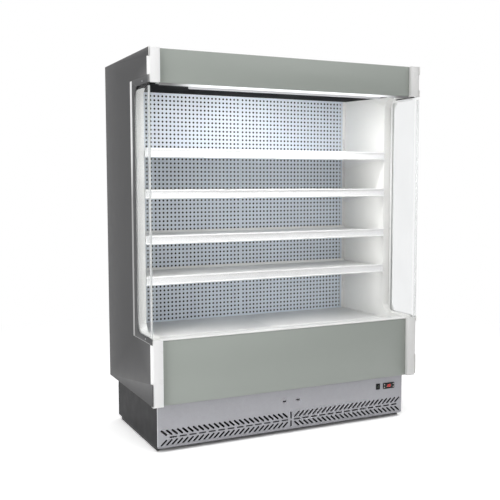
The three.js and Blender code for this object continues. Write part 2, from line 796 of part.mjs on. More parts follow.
// The dark band round the window, in the plane of the side cover.
function windowFrame() {
  const back = front + windowBack;
  const clear = openFrontShape(front, back - bandRear, windowBottom + bandBottom, windowTop - bandTop,
    windowCorner);
  return alongX(outline([
    [front, windowTop - seat], [back - seat, windowTop - seat],
    [back - seat, windowBottom + seat], [front, windowBottom + seat],
    ...clear,
  ]), outer - bandThickness, outer - 0.4);
}

// ---- canopy and bumper ------------------------------------------------------------------------

// Plan of an end cap: square where it meets the front panel, round towards the side.
function capPlan(edge, corner, wall) {
  const shape = new THREE.Shape();
  shape.moveTo(span + 2 * seat + wall, capBack);
  shape.lineTo(span + 2 * seat + wall, capFront + wall);
  shape.lineTo(edge - corner, capFront + wall);
  shape.absarc(edge - corner, capFront + corner, corner - wall, -Math.PI / 2, 0, false);
  shape.lineTo(edge - wall, capBack);
  return shape;
}

function endCap(low, high, bulgeLow, bulgeHigh) {
  const baseEdge = coverInside - seat;
  const bulgeEdge = outer + capProud;
  const base = alongZ(capPlan(baseEdge, capCorner - 2 * seat, 0), low, high);
  const bulgePlan = capPlan(bulgeEdge, capBulgeCorner, 0);
  const bulge = cut(
    alongZ(bulgePlan, bulgeLow, bulgeHigh),
    block(baseEdge, bulgeEdge + 1, capFront + capBulgeCorner, capBack + 1, bulgeLow - 1, bulgeHigh + 1));
  const hollow = alongZ(capPlan(baseEdge, capCorner - 2 * seat, skin), low + skin, high - skin)
    .translate(0, skin, 0);
  return cut(join(base, bulge), hollow);
}

function fascia() {
  const face = front + fasciaSetback;
  const low = front + honeycombSetback - seat;
  const high = front + roofSetback + roofChamfer + fasciaLap;
  return alongX(folded([
    [low, ceilingFront + honeycombHeight], [low, fasciaBottom],
    [face + fold, fasciaBottom], [face, fasciaBottom + fold],
    [face, top - fold], [face + fold, top], [high, top], [high, roofTop + seat],
  ].reverse(), sheet), -span, span);
}

function lamp() {
  const y0 = front + lampSetback;
  const high = fasciaBottom - seat;
  const shape = new THREE.Shape();
  shape.moveTo(y0, high);
  shape.quadraticCurveTo(y0 + 1, high - 11, y0 + 12, high - 11);
  shape.quadraticCurveTo(y0 + 22, high - 11, y0 + 23, high - 7);
  shape.lineTo(y0 + 26, high - lampHeight + 2);
  shape.quadraticCurveTo(y0 + 34, high - lampHeight - 2, y0 + lampDepth, high - lampHeight + 4);
  shape.lineTo(y0 + lampDepth, high);
  return alongX(shape, -lampLength / 2, lampLength / 2, 4);
}

function bumperPanel() {
  const face = front + bumperSetback;
  const back = tubFront - seat;
  return alongX(folded([
    [back, bumperBottom], [face + fold, bumperBottom], [face, bumperBottom + fold],
    [face, bumperTop - fold], [face + fold, bumperTop], [back, bumperTop],
  ].reverse(), sheet), -span, span);
}

// White rail that closes the gap over the bumper panel and the tub's front wall.
function frontRail() {
  const face = front + bumperSetback - sheet;
  const back = frontRailBack;
  return alongX(folded([
    [face, frontRailTop - frontRailLip], [face, frontRailTop - 2], [face + 2, frontRailTop],
    [back - 6, frontRailTop], [back, grilleTop + 8], [back, grilleTop - 10],
  ].reverse(), sheet), -span, span);
}

// ---- air path ---------------------------------------------------------------------------------

function returnGrille() {
  const y0 = frontRailBack + seat;
  const y1 = front + deckSetback - 2 * seat;
  const channel = alongX(folded([
    [y0, grilleTop - grilleHem], [y0, grilleTop], [y1, grilleTop], [y1, grilleTop - grilleHem],
  ].reverse(), sheet), -span, span);
  const count = Math.floor((2 * span - 20) / grilleSlotPitch);
  const slots = [];
  for (let i = 0; i < count; i += 1) {
    const x = (i - (count - 1) / 2) * grilleSlotPitch;
    slots.push(alongZ(outline(rectangle(x, (y0 + y1) / 2, grilleSlotWidth, y1 - y0 - 2 * grilleBorder)),
      grilleTop - 2 * sheet, grilleTop + sheet));
  }
  return cut(channel, ...slots);
}

function deckPan() {
  const y0 = front + deckSetback;
  const y1 = ductFace - seat;
  const shell = cut(
    block(seat, span, y0, y1, deckTop - deckHem, deckTop),
    block(seat + sheet, span - sheet, y0 + sheet, y1 - sheet, deckTop - deckHem - 1, deckTop - sheet));
  const lip = block(seat, span, y0, y0 + sheet, deckTop - sheet, grilleTop + deckLip);
  return join(shell, lip);
}

const fanPlateY = front + fanPlateSetback;
const fanPlateBottom = floorAt(fanPlateY + sheet) + seat;
const fanPlateTop = deckTop - deckHem - seat;
const fanAxisZ = (fanPlateBottom + fanPlateTop) / 2;
const evaporatorFanRadius = (fanPlateTop - fanPlateBottom) / 2 - fanClearance - fanEdge;

function fanPlate() {
  const places = [-1, 1].map((side) => [side * evaporatorFanSpread, fanAxisZ]);
  return fanMount(-span, span, fanPlateBottom, fanPlateTop, places, evaporatorFanRadius, fanPlateY);
}

function evaporator() {
  const y0 = front + evaporatorSetback;
  const x0 = -evaporatorLength / 2;
  const low = floorAt(y0 + evaporatorDepth) + seat;
  const finTop = deckTop - deckHem - evaporatorHeadroom;
  const pitch = evaporatorLength / evaporatorFins;
  const end = x0 + evaporatorLength - pitch * 0.65;
  const plates = [x0 - 2, end - 1].map((x) => (
    block(x, x + 3, y0, y0 + evaporatorDepth, low, finTop + 12)));
  const fins = finBlock(x0, evaporatorLength, evaporatorFins, low, finTop - low, y0, y0 + evaporatorDepth);
  const levels = [1 / 3, 2 / 3].flatMap((up) => [0.25, 0.75].map((along) => (
    [y0 + along * evaporatorDepth, low + up * (finTop - low)])));
  return join(fins, ...plates, ...returnBends(x0 - 2, -1, levels, 25, 5));
}

// One of the two sheets of the back, with its edges turned towards the duct.
function ductPanel() {
  const y0 = ductFace;
  return alongZ(folded([
    [seat, y0 + ductReturn], [seat, y0], [ductHalf, y0], [ductHalf, y0 + ductReturn],
  ], sheet), ductBottom, ductTop);
}

function ceilingPanel() {
  const y0 = front + ceilingSetback;
  const y1 = ductFace - seat;
  return alongX(folded([
    [y1, ceilingRear + ceilingRearFlange], [y1, ceilingRear],
    [y0, ceilingFront], [y0, ceilingFront + ceilingFlange],
  ].reverse(), sheet), -span, span);
}

// Black outlet grid that lays the cold air curtain, two rows of cells.
function honeycomb() {
  const y0 = front + honeycombSetback;
  const cellHoles = [];
  const pitch = 2 * (span - honeycombWall) / honeycombCells;
  const row = (honeycombDepth - 3 * honeycombWall) / 2;
  [0, 1].forEach((line) => {
    const y = y0 + honeycombWall + row / 2 + line * (row + honeycombWall);
    const cells = honeycombCells - line;
    for (let i = 0; i < cells; i += 1) {
      const x = (i - (cells - 1) / 2) * pitch;
      cellHoles.push(alongZ(outline(rectangle(x, y, pitch - honeycombWall, row)),
        ceilingFront - 1, ceilingFront + honeycombHeight + 1));
    }
  });
  const bar = block(-span, span, y0, y0 + honeycombDepth, ceilingFront, ceilingFront + honeycombHeight);
  return cut(bar, ...cellHoles);
}

// ---- uprights and shelves ---------------------------------------------------------------------

function upright() {
  const x0 = uprightX - uprightWidth / 2;
  const x1 = uprightX + uprightWidth / 2;
  const back = rearInside - seat;
  const channel = alongZ(folded([[x0, back], [x0, ductFace], [x1, ductFace], [x1, back]], sheet),
    ductBottom, ductTop);
  const slots = [];
  for (let z = firstSlot; z <= lastSlot; z += holePitch) {
    slots.push(alongY(outline(rectangle(uprightX, z, uprightSlotWidth, uprightSlotHeight)),
      ductFace - sheet, ductFace + 2 * sheet));
  }
  return cut(channel, ...slots);
}

// Shelf sheet with its two side brackets, each hooked in two slots of its upright.
function shelf(railTop) {
  const faceZ = railTop - shelfDrop;
  const y0 = front + railSetback + railThickness + seat;
  const y1 = ductFace - shelfBackGap;
  const tray = alongX(folded([
    [y0, faceZ - shelfHem], [y0, faceZ], [y1, faceZ], [y1, faceZ + shelfBackLip],
  ].reverse(), sheet), -shelfHalf, shelfHalf);
  const weld = faceZ - sheet / 2;
  const under = faceZ - sheet;
  const lowHook = under - bracketRear + hookDrop + hookHalf;
  const slotZ = firstSlot + Math.round((lowHook - firstSlot) / holePitch) * holePitch;
  const heel = ductFace - seat;
  const behind = ductFace + sheet + seat;
  const hook = (z) => [
    [heel, z - hookHalf], [behind, z - hookHalf], [behind, z - hookDrop],
    [behind + hookReach, z - hookDrop], [behind + hookReach, z + hookHalf], [heel, z + hookHalf],
  ];
  const plate = outline([
    [heel, weld], [y0 + sheet / 2, weld], [y0 + sheet / 2, under - bracketFront],
    [heel - bracketHeel, under - bracketRear], [heel, under - bracketRear],
    ...hook(slotZ), ...hook(slotZ + holePitch),
  ]);
  const brackets = [-1, 1].map((side) => alongX(plate,
    side * uprightX - bracketThickness / 2, side * uprightX + bracketThickness / 2));
  return join(tray, ...brackets);
}

function priceRail(railTop) {
  const y0 = front + railSetback;
  return alongX(folded([
    [y0 - 1, railTop - railHeight + railLip], [y0 - 3, railTop - railHeight + 2],
    [y0, railTop - railHeight], [y0, railTop], [y0 - 4, railTop - 1], [y0 - 3, railTop - railLip],
  ].reverse(), railThickness), -shelfHalf - railOverhang, shelfHalf + railOverhang);
}

// ---- finishes ---------------------------------------------------------------------------------

function finish(color, roughness, metalness, extra = {}) {
  return new THREE.MeshStandardMaterial({ color, roughness, metalness, ...extra });
}

const greyGreen = finish(0x9da39d, 0.42, 0.1);
const coverGrey = finish(0x6c6d6e, 0.45, 0.2);
const bandGrey = finish(0x55585a, 0.5, 0.1);
const plinthDark = finish(0x45464a, 0.55, 0.2);
const galvanised = finish(0x96979c, 0.45, 0.6);
const white = finish(0xf2f2f0, 0.4, 0);
const blackPlastic = finish(0x141416, 0.5, 0);
const glass = finish(0xe8eef0, 0.05, 0, { transparent: true, opacity: 0.3 });
const aluminium = finish(0xb9bcc0, 0.35, 0.9);
const keyGrey = finish(0xb8b8b8, 0.5, 0);

// ---- assembly ---------------------------------------------------------------------------------

const fridge = new THREE.Group();

function add(name, geometry, material, place = [0, 0, 0]) {
  const piece = new THREE.Mesh(geometry, material);
  piece.name = name;
  piece.position.set(...place);
  fridge.add(piece);
}

function addPair(name, geometry, material) {
  add(`${name}_right`, geometry, material);
  add(`${name}_left`, mirrored(geometry), material);
}

add('base_frame', baseFrame(), galvanised);
[['front', frameFront + footSetback], ['rear', frameRear - footSetback]].forEach(([line, y]) => {
  add(`foot_${line}_left`, foot(), blackPlastic, [-frameHalf + footInset, y, 0]);
  add(`foot_${line}_right`, foot(), blackPlastic, [frameHalf - footInset, y, 0]);
});
add('plinth_surround', plinthSurround(), plinthDark);
add('louvre_panel', louvrePanel(), galvanised);

add('switch_housing', switchHousing(), blackPlastic);
add('rocker', rocker().rotateX(tilt), blackPlastic, [switchX, plinthFront + rockerPin, switchZ]);
add('controller', controller(), blackPlastic);
keyPlaces().forEach(([x, z], i) => {
  add(`key_${i + 1}`, key(), keyGrey, [x, plinthFront - seat - controllerBezel - keyProud, z]);
});

add('unit_tray', unitTray(), galvanised);
add('condenser', condenser(), aluminium);
add('condenser_fan_mount', fanMount(condenserLeft, condenserLeft + condenserLength - 8, unitFloor,
  unitFloor + condenserHeight, [[condenserFanX, condenserFanZ]], condenserFanRadius,
  condenserBack + seat), blackPlastic);
add('condenser_fan', fanWheel(condenserFanRadius), blackPlastic,
  [condenserFanX, condenserBack + seat + fanSetIn, condenserFanZ]);
add('compressor', compressor(), blackPlastic, [compressorX, compressorY, unitFloor]);
add('electrical_box', electricalBox(), galvanised);

add('insulated_tub', insulatedTub(), galvanised);
add('rear_wall', rearWallPanel(), galvanised);
add('roof_panel', roofPanel(), galvanised);
addPair('end_wall', endWallCore(), white);
addPair('side_cover', sideCover(), coverGrey);
addPair('side_glass', sideGlass(), glass);
addPair('window_frame', windowFrame(), bandGrey);

add('canopy_fascia', fascia(), greyGreen);
addPair('canopy_cap', endCap(fasciaBottom, top, canopyBulgeBottom, canopyBulgeTop), white);
add('lamp', lamp(), white);
add('bumper_panel', bumperPanel(), greyGreen);
addPair('bumper_cap', endCap(bumperBottom, frontRailTop, bumperBulgeBottom, windowBottom), white);
add('front_rail', frontRail(), white);

add('return_grille', returnGrille(), white);
addPair('deck_pan', deckPan(), white);
add('fan_plate', fanPlate(), white);
[['left', -1], ['right', 1]].forEach(([side, way]) => {
  add(`evaporator_fan_${side}`, fanWheel(evaporatorFanRadius), blackPlastic,
    [way * evaporatorFanSpread, fanPlateY + fanSetIn, fanAxisZ]);
});
add('evaporator', evaporator(), aluminium);
addPair('duct_panel', ductPanel(), white);
add('ceiling_panel', ceilingPanel(), blackPlastic);
add('air_honeycomb', honeycomb(), blackPlastic);

addPair('upright', upright(), white);
shelfHeights.forEach((railTop, i) => {
  add(`shelf_${i + 1}`, shelf(railTop), white);
  add(`price_rail_${i + 1}`, priceRail(railTop), white);
});

export default fridge;
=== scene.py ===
import json
from math import pi, radians

import bpy
from mathutils import Matrix, Vector


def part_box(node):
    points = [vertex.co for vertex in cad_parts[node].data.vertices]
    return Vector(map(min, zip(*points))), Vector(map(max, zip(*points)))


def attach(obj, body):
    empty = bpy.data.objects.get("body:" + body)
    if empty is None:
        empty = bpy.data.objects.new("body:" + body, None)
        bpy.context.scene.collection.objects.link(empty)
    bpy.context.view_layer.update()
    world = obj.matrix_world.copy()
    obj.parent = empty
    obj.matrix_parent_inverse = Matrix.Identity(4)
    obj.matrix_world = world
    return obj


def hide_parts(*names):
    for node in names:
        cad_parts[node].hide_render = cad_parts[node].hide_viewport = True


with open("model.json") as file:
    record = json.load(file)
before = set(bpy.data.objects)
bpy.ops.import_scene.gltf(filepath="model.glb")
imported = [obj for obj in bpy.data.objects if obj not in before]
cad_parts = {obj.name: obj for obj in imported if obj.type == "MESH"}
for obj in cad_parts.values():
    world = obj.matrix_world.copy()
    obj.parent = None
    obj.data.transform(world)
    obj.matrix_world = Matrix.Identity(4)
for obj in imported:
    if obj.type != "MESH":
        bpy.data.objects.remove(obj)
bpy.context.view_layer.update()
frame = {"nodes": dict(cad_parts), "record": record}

# ---- Camera --------------------------------------------------------------------------------
# The photograph was taken from the front left, a little above the middle of the cabinet,
# with a slightly long lens. The place, the turn and the lens come from its straight edges.

eye = Vector((-2.1431, -4.2641, 1.4346))
heading = Matrix.Rotation(radians(-25.748), 4, "Z")
nod = Matrix.Rotation(radians(90 - 4.788), 4, "X")
lean = Matrix.Rotation(radians(-0.117), 4, "Z")
bpy.ops.object.camera_add(location=eye, rotation=(heading @ nod @ lean).to_euler())
camera = bpy.context.object
camera.data.sensor_width = 36
camera.data.lens = 57.2
camera.data.clip_end = 200
bpy.context.scene.camera = camera

# ---- Base frame ----------------------------------------------------------------------------
# Steel square bar and channel, welded into a low table that carries the cooling unit and the
# insulated body. Its dark coat is painted shade, so that the space behind the slots reads dark.

nodes = frame["nodes"]
body_of = {
    node: body
    for body, members in frame["record"]["behaviour"]["bodies"].items()
    for node in members
}


def pick_only(piece):
    """Leaves one piece selected and active."""
    bpy.ops.object.select_all(action="DESELECT")
    piece.select_set(True)
    bpy.context.view_layer.objects.active = piece


def copy_of(node, name):
    """A copy of a CAD node with its loose triangles merged into plain faces."""
    piece = bpy.data.objects.new(name, nodes[node].data.copy())
    bpy.context.collection.objects.link(piece)
    pick_only(piece)
    bpy.ops.object.mode_set(mode="EDIT")
    bpy.ops.mesh.select_mode(type="VERT")
    bpy.ops.mesh.select_all(action="SELECT")
    bpy.ops.mesh.remove_doubles(threshold=0.00002)
    bpy.ops.mesh.dissolve_limited(angle_limit=radians(0.5))
    bpy.ops.object.mode_set(mode="OBJECT")
    return piece


def ease_edges(piece, width, segments=2, angle=32):
    """Rounds a piece's edges as a press, a mould or a file leaves them."""
    pick_only(piece)
    bevel = piece.modifiers.new("eased", "BEVEL")
    bevel.width = width
    bevel.segments = segments
    bevel.limit_method = "ANGLE"
    bevel.angle_limit = radians(angle)
    bevel.harden_normals = True
    bpy.ops.object.modifier_apply(modifier=bevel.name)
    bpy.ops.object.shade_smooth_by_angle(angle=radians(angle))
    return piece


def paint(piece, material):
    """Gives a piece its one finish."""
    piece.data.materials.clear()
    piece.data.materials.append(material)


def stand_for(piece, node, material):
    """The piece takes the place of a CAD node and moves with its body."""
    paint(piece, material)
    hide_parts(node)
    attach(piece, body_of[node])


def eased_node(node, material, width=0.0008, segments=2):
    """A CAD node as it is, with its edges rounded."""
    piece = ease_edges(copy_of(node, node + "_finished"), width, segments)
    stand_for(piece, node, material)
    return piece


def surface_group(name, inputs):
    """A shader node group that makes a colour, a roughness and a height from its inputs."""
    tree = bpy.data.node_groups.new(name, "ShaderNodeTree")
    for label, value in inputs:
        kind = "NodeSocketColor" if label == "Colour" else "NodeSocketFloat"
        socket = tree.interface.new_socket(name=label, in_out="INPUT", socket_type=kind)
        socket.default_value = value
    for label, kind in (("Colour", "Color"), ("Roughness", "Float"), ("Height", "Float")):
        tree.interface.new_socket(name=label, in_out="OUTPUT", socket_type="NodeSocket" + kind)
    given = tree.nodes.new("NodeGroupInput").outputs
    return tree, given, tree.nodes.new("NodeGroupOutput").inputs


def link_surface(tree, results, colour, roughness, height):
    """Links what a group has made to its three outputs."""
    for made, socket in zip((colour, roughness, height), results):
        tree.links.new(made, socket)


def feed(tree, value, socket):
    """Gives a socket a number, or links another socket to it."""
    if isinstance(value, (int, float)):
        socket.default_value = value
    else:
        tree.links.new(value, socket)


def object_place(tree):
    """The place on the object, which every finish is laid out on."""
    return tree.nodes.new("ShaderNodeTexCoord").outputs["Object"]


def noise(tree, vector, scale, detail=3.0):
    """A noise texture on a vector, with its scale a number or a socket."""
    texture = tree.nodes.new("ShaderNodeTexNoise")
    texture.inputs["Detail"].default_value = detail
    tree.links.new(vector, texture.inputs["Vector"])
    feed(tree, scale, texture.inputs["Scale"])
    return texture.outputs["Fac"]


def mapped(tree, value, start, stop, low, high, smooth=False):
    """Maps a value from the range start to stop to the range low to high."""
    spread = tree.nodes.new("ShaderNodeMapRange")
    if smooth:
        spread.interpolation_type = "SMOOTHSTEP"
    for label, given in (("Value", value), ("From Min", start), ("From Max", stop),
            ("To Min", low), ("To Max", high)):
        feed(tree, given, spread.inputs[label])
    return spread.outputs[0]


def calculated(tree, operation, *values):
    """A sum, a product or the like of numbers or sockets."""
    step = tree.nodes.new("ShaderNodeMath")
    step.operation = operation
    for value, socket in zip(values, step.inputs):
        feed(tree, value, socket)
    return step.outputs[0]


def around(tree, mask, middle, spread, low=0.3, high=0.7):
    """Spreads a mask evenly about a middle value. Both may be numbers or sockets."""
    centred = mapped(tree, mask, low, high, -1, 1)
    return calculated(tree, "MULTIPLY_ADD", centred, spread, middle)


def tinted(tree, colour, factor):
    """A colour made lighter or darker by a factor."""
    scaled = tree.nodes.new("ShaderNodeVectorMath")
    scaled.operation = "SCALE"
    tree.links.new(colour, scaled.inputs[0])
    tree.links.new(factor, scaled.inputs["Scale"])
    return scaled.outputs[0]


# Powder coat and moulded plastic: slow clouds in the colour and the gloss over a fine grain.
coat_tree, coat_in, coat_out = surface_group("coat_grain", [
    ("Colour", (0.8, 0.8, 0.8, 1.0)), ("Tone", 0.02), ("Cloud size", 3.0), ("Grain size", 900.0),
    ("Roughness", 0.4), ("Gloss spread", 0.04)])
place = object_place(coat_tree)
cloud = noise(coat_tree, place, coat_in["Cloud size"], 4)
grain = noise(coat_tree, place, coat_in["Grain size"], 2)
smear = noise(coat_tree, place, 14.0, 5)
link_surface(coat_tree, coat_out,
    tinted(coat_tree, coat_in["Colour"], around(coat_tree, cloud, 1.0, coat_in["Tone"])),
    around(coat_tree, smear, coat_in["Roughness"], coat_in["Gloss spread"]), grain)

# Zinc coat: crystals of slightly different grey, each a little flatter or duller than the next.
zinc_tree, zinc_in, zinc_out = surface_group("zinc_spangle", [
    ("Colour", (0.3, 0.3, 0.31, 1.0)), ("Tone", 0.12), ("Crystals", 70.0), ("Roughness", 0.42)])
place = object_place(zinc_tree)
crystal = zinc_tree.nodes.new("ShaderNodeTexVoronoi")
crystal.inputs["Randomness"].default_value = 1.0
zinc_tree.links.new(place, crystal.inputs["Vector"])
zinc_tree.links.new(zinc_in["Crystals"], crystal.inputs["Scale"])
shade = zinc_tree.nodes.new("ShaderNodeSeparateColor")
zinc_tree.links.new(crystal.outputs["Color"], shade.inputs[0])
mottle = noise(zinc_tree, place, 38.0, 5)
both = calculated(zinc_tree, "ADD", around(zinc_tree, shade.outputs[0], 0.5, 0.25, 0.0, 1.0),
    around(zinc_tree, mottle, 0.0, 0.25))
tone = around(zinc_tree, both, 1.0, zinc_in["Tone"], 0.0, 1.0)
link_surface(zinc_tree, zinc_out, tinted(zinc_tree, zinc_in["Colour"], tone),
    around(zinc_tree, shade.outputs[1], zinc_in["Roughness"], 0.07, 0.0, 1.0), both)


def finish(name, tree, colour, bump=0.0002, strength=0.2, metallic=0.0, specular=0.5, **values):
    """A material whose colour, gloss and grain come from one of the surface groups."""
    material = bpy.data.materials.new(name)
    material.use_nodes = True
    shader = material.node_tree.nodes["Principled BSDF"]
    shader.inputs["Metallic"].default_value = metallic
    shader.inputs["Specular IOR Level"].default_value = specular
    surface = material.node_tree.nodes.new("ShaderNodeGroup")
    surface.node_tree = tree
    # The colour is given as a screen shows it and turned into the light that it reflects.
    light = [((channel + 0.055) / 1.055) ** 2.4 for channel in colour]
    surface.inputs["Colour"].default_value = (*light, 1.0)
    for label, value in values.items():
        surface.inputs[label.replace("_", " ").capitalize()].default_value = value
    relief = material.node_tree.nodes.new("ShaderNodeBump")
    relief.inputs["Distance"].default_value = bump
    relief.inputs["Strength"].default_value = strength
    links = material.node_tree.links
    links.new(surface.outputs["Colour"], shader.inputs["Base Color"])
    links.new(surface.outputs["Roughness"], shader.inputs["Roughness"])
    links.new(surface.outputs["Height"], relief.inputs["Height"])
    links.new(relief.outputs["Normal"], shader.inputs["Normal"])
    return material


hidden_gloss = 0.15
chassis_painted_shade = finish("chassis_painted_shade", coat_tree, (0.11, 0.11, 0.115), tone=0.1, roughness=0.7,
    grain_size=420, strength=0.4, specular=hidden_gloss)
eased_node("base_frame", chassis_painted_shade, 0.0015)

# ---- Levelling feet ------------------------------------------------------------------------
# Meant as a black plastic foot in turned steps. Known fault: the disc isn't deselected before
# its top face is selected, so each extrude takes more than that face, and the steps come out
# loose or doubled.

foot_black = finish("foot_black", coat_tree, (0.09, 0.09, 0.095), tone=0.08, roughness=0.55,
    grain_size=500, strength=0.35)
for corner in ("front_left", "front_right", "rear_left", "rear_right"):
    low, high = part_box("foot_" + corner)
    middle = (low + high) / 2
    bpy.ops.object.select_all(action="DESELECT")
    bpy.ops.mesh.primitive_cylinder_add(vertices=32, radius=0.027, depth=0.004,
        location=(middle.x, middle.y, 0.002))
    foot = bpy.context.object
    foot.name = "levelling_foot_" + corner
    bpy.ops.object.transform_apply(location=True)
    for face in foot.data.polygons:
        face.select = face.normal.z > 0.9
    bpy.ops.object.mode_set(mode="EDIT")
    bpy.ops.mesh.select_mode(type="FACE")
    for reach, rise in ((0.96, 0.0015), (0.62, 0.006), (0.5, 0.0005), (1.0, 0.008), (0.52, 0.0006),
            (1.0, high.z - 0.0206)):
        bpy.ops.mesh.extrude_region_move(TRANSFORM_OT_translate={"value": (0, 0, rise)})
        bpy.ops.transform.resize(value=(reach, reach, 1), center_override=(middle.x, middle.y, 0))
    bpy.ops.object.mode_set(mode="OBJECT")
    ease_edges(foot, 0.0008)
    stand_for(foot, "foot_" + corner, foot_black)

# ---- Plinth --------------------------------------------------------------------------------
# A folded surround in dark powder coat closes the sides and the rear. The front is a lift-off
# galvanised panel with a punched herringbone of slots that the condenser breathes through.

satin_gloss = 0.05
plinth_dark = finish("plinth_dark", coat_tree, (0.15, 0.15, 0.156), tone=0.05, roughness=0.42,
    grain_size=700, strength=0.3, specular=satin_gloss)
eased_node("plinth_surround", plinth_dark, 0.0006)

panel_zinc = finish("panel_zinc", zinc_tree, (0.635, 0.635, 0.655), metallic=0.25, tone=0.045,
    crystals=240, roughness=0.4)


def pick_faces(piece, wanted):
    """Goes into edit mode with just the faces selected whose centre and normal are wanted."""
    pick_only(piece)
    bpy.ops.object.mode_set(mode="EDIT")
    bpy.ops.mesh.select_mode(type="FACE")
    bpy.ops.mesh.select_all(action="DESELECT")
    bpy.ops.object.mode_set(mode="OBJECT")
    for face in piece.data.polygons:
        face.select = bool(wanted(face.center, face.normal))
    bpy.ops.object.mode_set(mode="EDIT")


def pick_corners(piece, wanted):
    """Goes into edit mode with just the vertices selected whose place is wanted."""
    pick_only(piece)
    bpy.ops.object.mode_set(mode="EDIT")
    bpy.ops.mesh.select_mode(type="VERT")
    bpy.ops.mesh.select_all(action="DESELECT")
    bpy.ops.object.mode_set(mode="OBJECT")
    for corner in piece.data.vertices:
        corner.select = bool(wanted(corner.co))
    bpy.ops.object.mode_set(mode="EDIT")


def shift_corners(piece, wanted, move):
    """Moves just the vertices whose place is wanted."""
    pick_corners(piece, wanted)
    bpy.ops.transform.translate(value=move)
    bpy.ops.object.mode_set(mode="OBJECT")


def set_out(master, name, places):
    """Copies a small piece to each place, each copy with its own mesh, and joins the copies."""
    copies = []
    for place in places:
        copy = bpy.data.objects.new(name, master.data.copy())
        copy.data.transform(place)
        bpy.context.collection.objects.link(copy)
        copies.append(copy)
    bpy.ops.object.select_all(action="DESELECT")
    for copy in copies:
        copy.select_set(True)
    bpy.context.view_layer.objects.active = copies[0]
    if len(copies) > 1:
        bpy.ops.object.join()
    copies[0].name = name
    return copies[0]


def punch(piece, tool):
    """Takes a punch's shape out of a sheet and throws the punch away."""
    pick_only(piece)
    press = piece.modifiers.new("punched", "BOOLEAN")
    press.operation = "DIFFERENCE"
    press.solver = "EXACT"
    press.object = tool
    bpy.ops.object.modifier_apply(modifier=press.name)
    bpy.data.objects.remove(tool)


def slab(name, corner, opposite):
    """A cube primitive added between two opposite corners, the start of a flat piece."""
    corner, opposite = Vector(corner), Vector(opposite)
    bpy.ops.object.select_all(action="DESELECT")
    bpy.ops.mesh.primitive_cube_add(size=1, location=(corner + opposite) / 2,
        scale=[abs(reach) for reach in opposite - corner])
    piece = bpy.context.object
    piece.name = name
    bpy.ops.object.transform_apply(location=True, rotation=True, scale=True)
    return piece


def fitting(name, corner, opposite, width, material, segments=2):
    """A small flat piece with rounded edges that is fixed to the cabinet."""
    piece = ease_edges(slab(name, corner, opposite), width, segments)
    paint(piece, material)
    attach(piece, "cabinet")


def slot_punch(length, width):
    """A punch for a slot with round ends, lying along X."""
    bpy.ops.object.select_all(action="DESELECT")
    bpy.ops.mesh.primitive_cylinder_add(vertices=16, radius=width / 2, depth=0.012,
        rotation=(pi / 2, 0, 0))
    tool = bpy.context.object
    bpy.ops.object.transform_apply(location=True, rotation=True)
    for way in (-1, 1):
        shift_corners(tool, lambda place: place.x * way > 0.0001,
            (way * (length - width) / 2, 0, 0))
    return tool


low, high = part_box("louvre_panel")
plinth_half = high.x
panel_y = (low.y + high.y) / 2
panel = slab("louvre_front", low, high)
lower_part = 0.03
pick_faces(panel, lambda centre, normal: abs(normal.z) > 0.9 and centre.z < lower_part)
bpy.ops.object.mode_set(mode="OBJECT")
for edge in panel.data.edges:
    ends = [panel.data.vertices[v].co for v in edge.vertices]
    edge.select = (abs(ends[0].y - ends[1].y) > 0.001
        and max(end.z for end in ends) < lower_part)
bpy.ops.object.mode_set(mode="EDIT")
bpy.ops.mesh.select_mode(type="EDGE")
bpy.ops.mesh.bevel(offset=0.009, segments=6)
bpy.ops.object.mode_set(mode="OBJECT")

louvre_middle = 0.0165
slot_start, slot_pitch, slot_margin, slot_slant = 0.038, 0.03065, 0.022, 41
dash_start, dash_pitch, dash_margin = 0.0395, 0.0567, 0.040
upper_row, lower_row, dash_row, peep_row = 0.106, 0.051, 0.078, 0.189
slanted, dashes = [], []
for side in (1, -1):
    room = plinth_half - side * louvre_middle
    for i in range(int((room - slot_start - slot_margin) / slot_pitch) + 1):
        x = louvre_middle + side * (slot_start + slot_pitch * i)
        for row, turn in ((upper_row, -side * slot_slant), (lower_row, side * slot_slant)):
            slanted.append(Matrix.Translation((x, panel_y, row))
                @ Matrix.Rotation(radians(turn), 4, "Y"))
    for i in range(int((room - dash_start - dash_margin) / dash_pitch) + 1):
        x = louvre_middle + side * (dash_start + dash_pitch * i)
        dashes.append(Matrix.Translation((x, panel_y, dash_row)))
on_end = Matrix.Rotation(pi / 2, 4, "Y")
uprights = [Matrix.Translation((louvre_middle, panel_y, row)) @ on_end
    for row in (upper_row - 0.0025, lower_row + 0.0025)]
peeps = [Matrix.Translation((louvre_middle + 0.002 + way * 0.0443, panel_y, peep_row))
    for way in (-1, 1)]
for name, length, width, places in (("slanted_slots", 0.046, 0.0112, slanted),
        ("dash_slots", 0.043, 0.0088, dashes), ("middle_slots", 0.042, 0.010, uprights),
        ("peep_slots", 0.024, 0.009, peeps)):
    master = slot_punch(length, width)
    tool = set_out(master, name, places)
    bpy.data.objects.remove(master)
    punch(panel, tool)
for name, node, lap in (("switch_hole", "switch_housing", 0.003),
        ("controller_hole", "controller", 0.004)):
    hole_low, hole_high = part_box(node)
    inset = Vector((lap - 0.0003, 0, lap - 0.0003))
    hole_low.y, hole_high.y = panel_y - 0.006, panel_y + 0.006
    punch(panel, slab(name, hole_low + inset, hole_high - inset))
stand_for(panel, "louvre_panel", panel_zinc)

# The panel's upright edges are folded back double, which leaves a rounded rim; its lighter colour
# is a painted highlight.
rim_painted_highlight = finish("rim_painted_highlight", zinc_tree, (0.8, 0.8, 0.81), metallic=0.2, tone=0.05, crystals=300)
for way, name in ((-1, "left"), (1, "right")):
    fitting("panel_rim_" + name, (way * (plinth_half - 0.0042), low.y - 0.0004, low.z + 0.009),
        (way * plinth_half, low.y + 0.0002, high.z - 0.001), 0.00025, rim_painted_highlight)
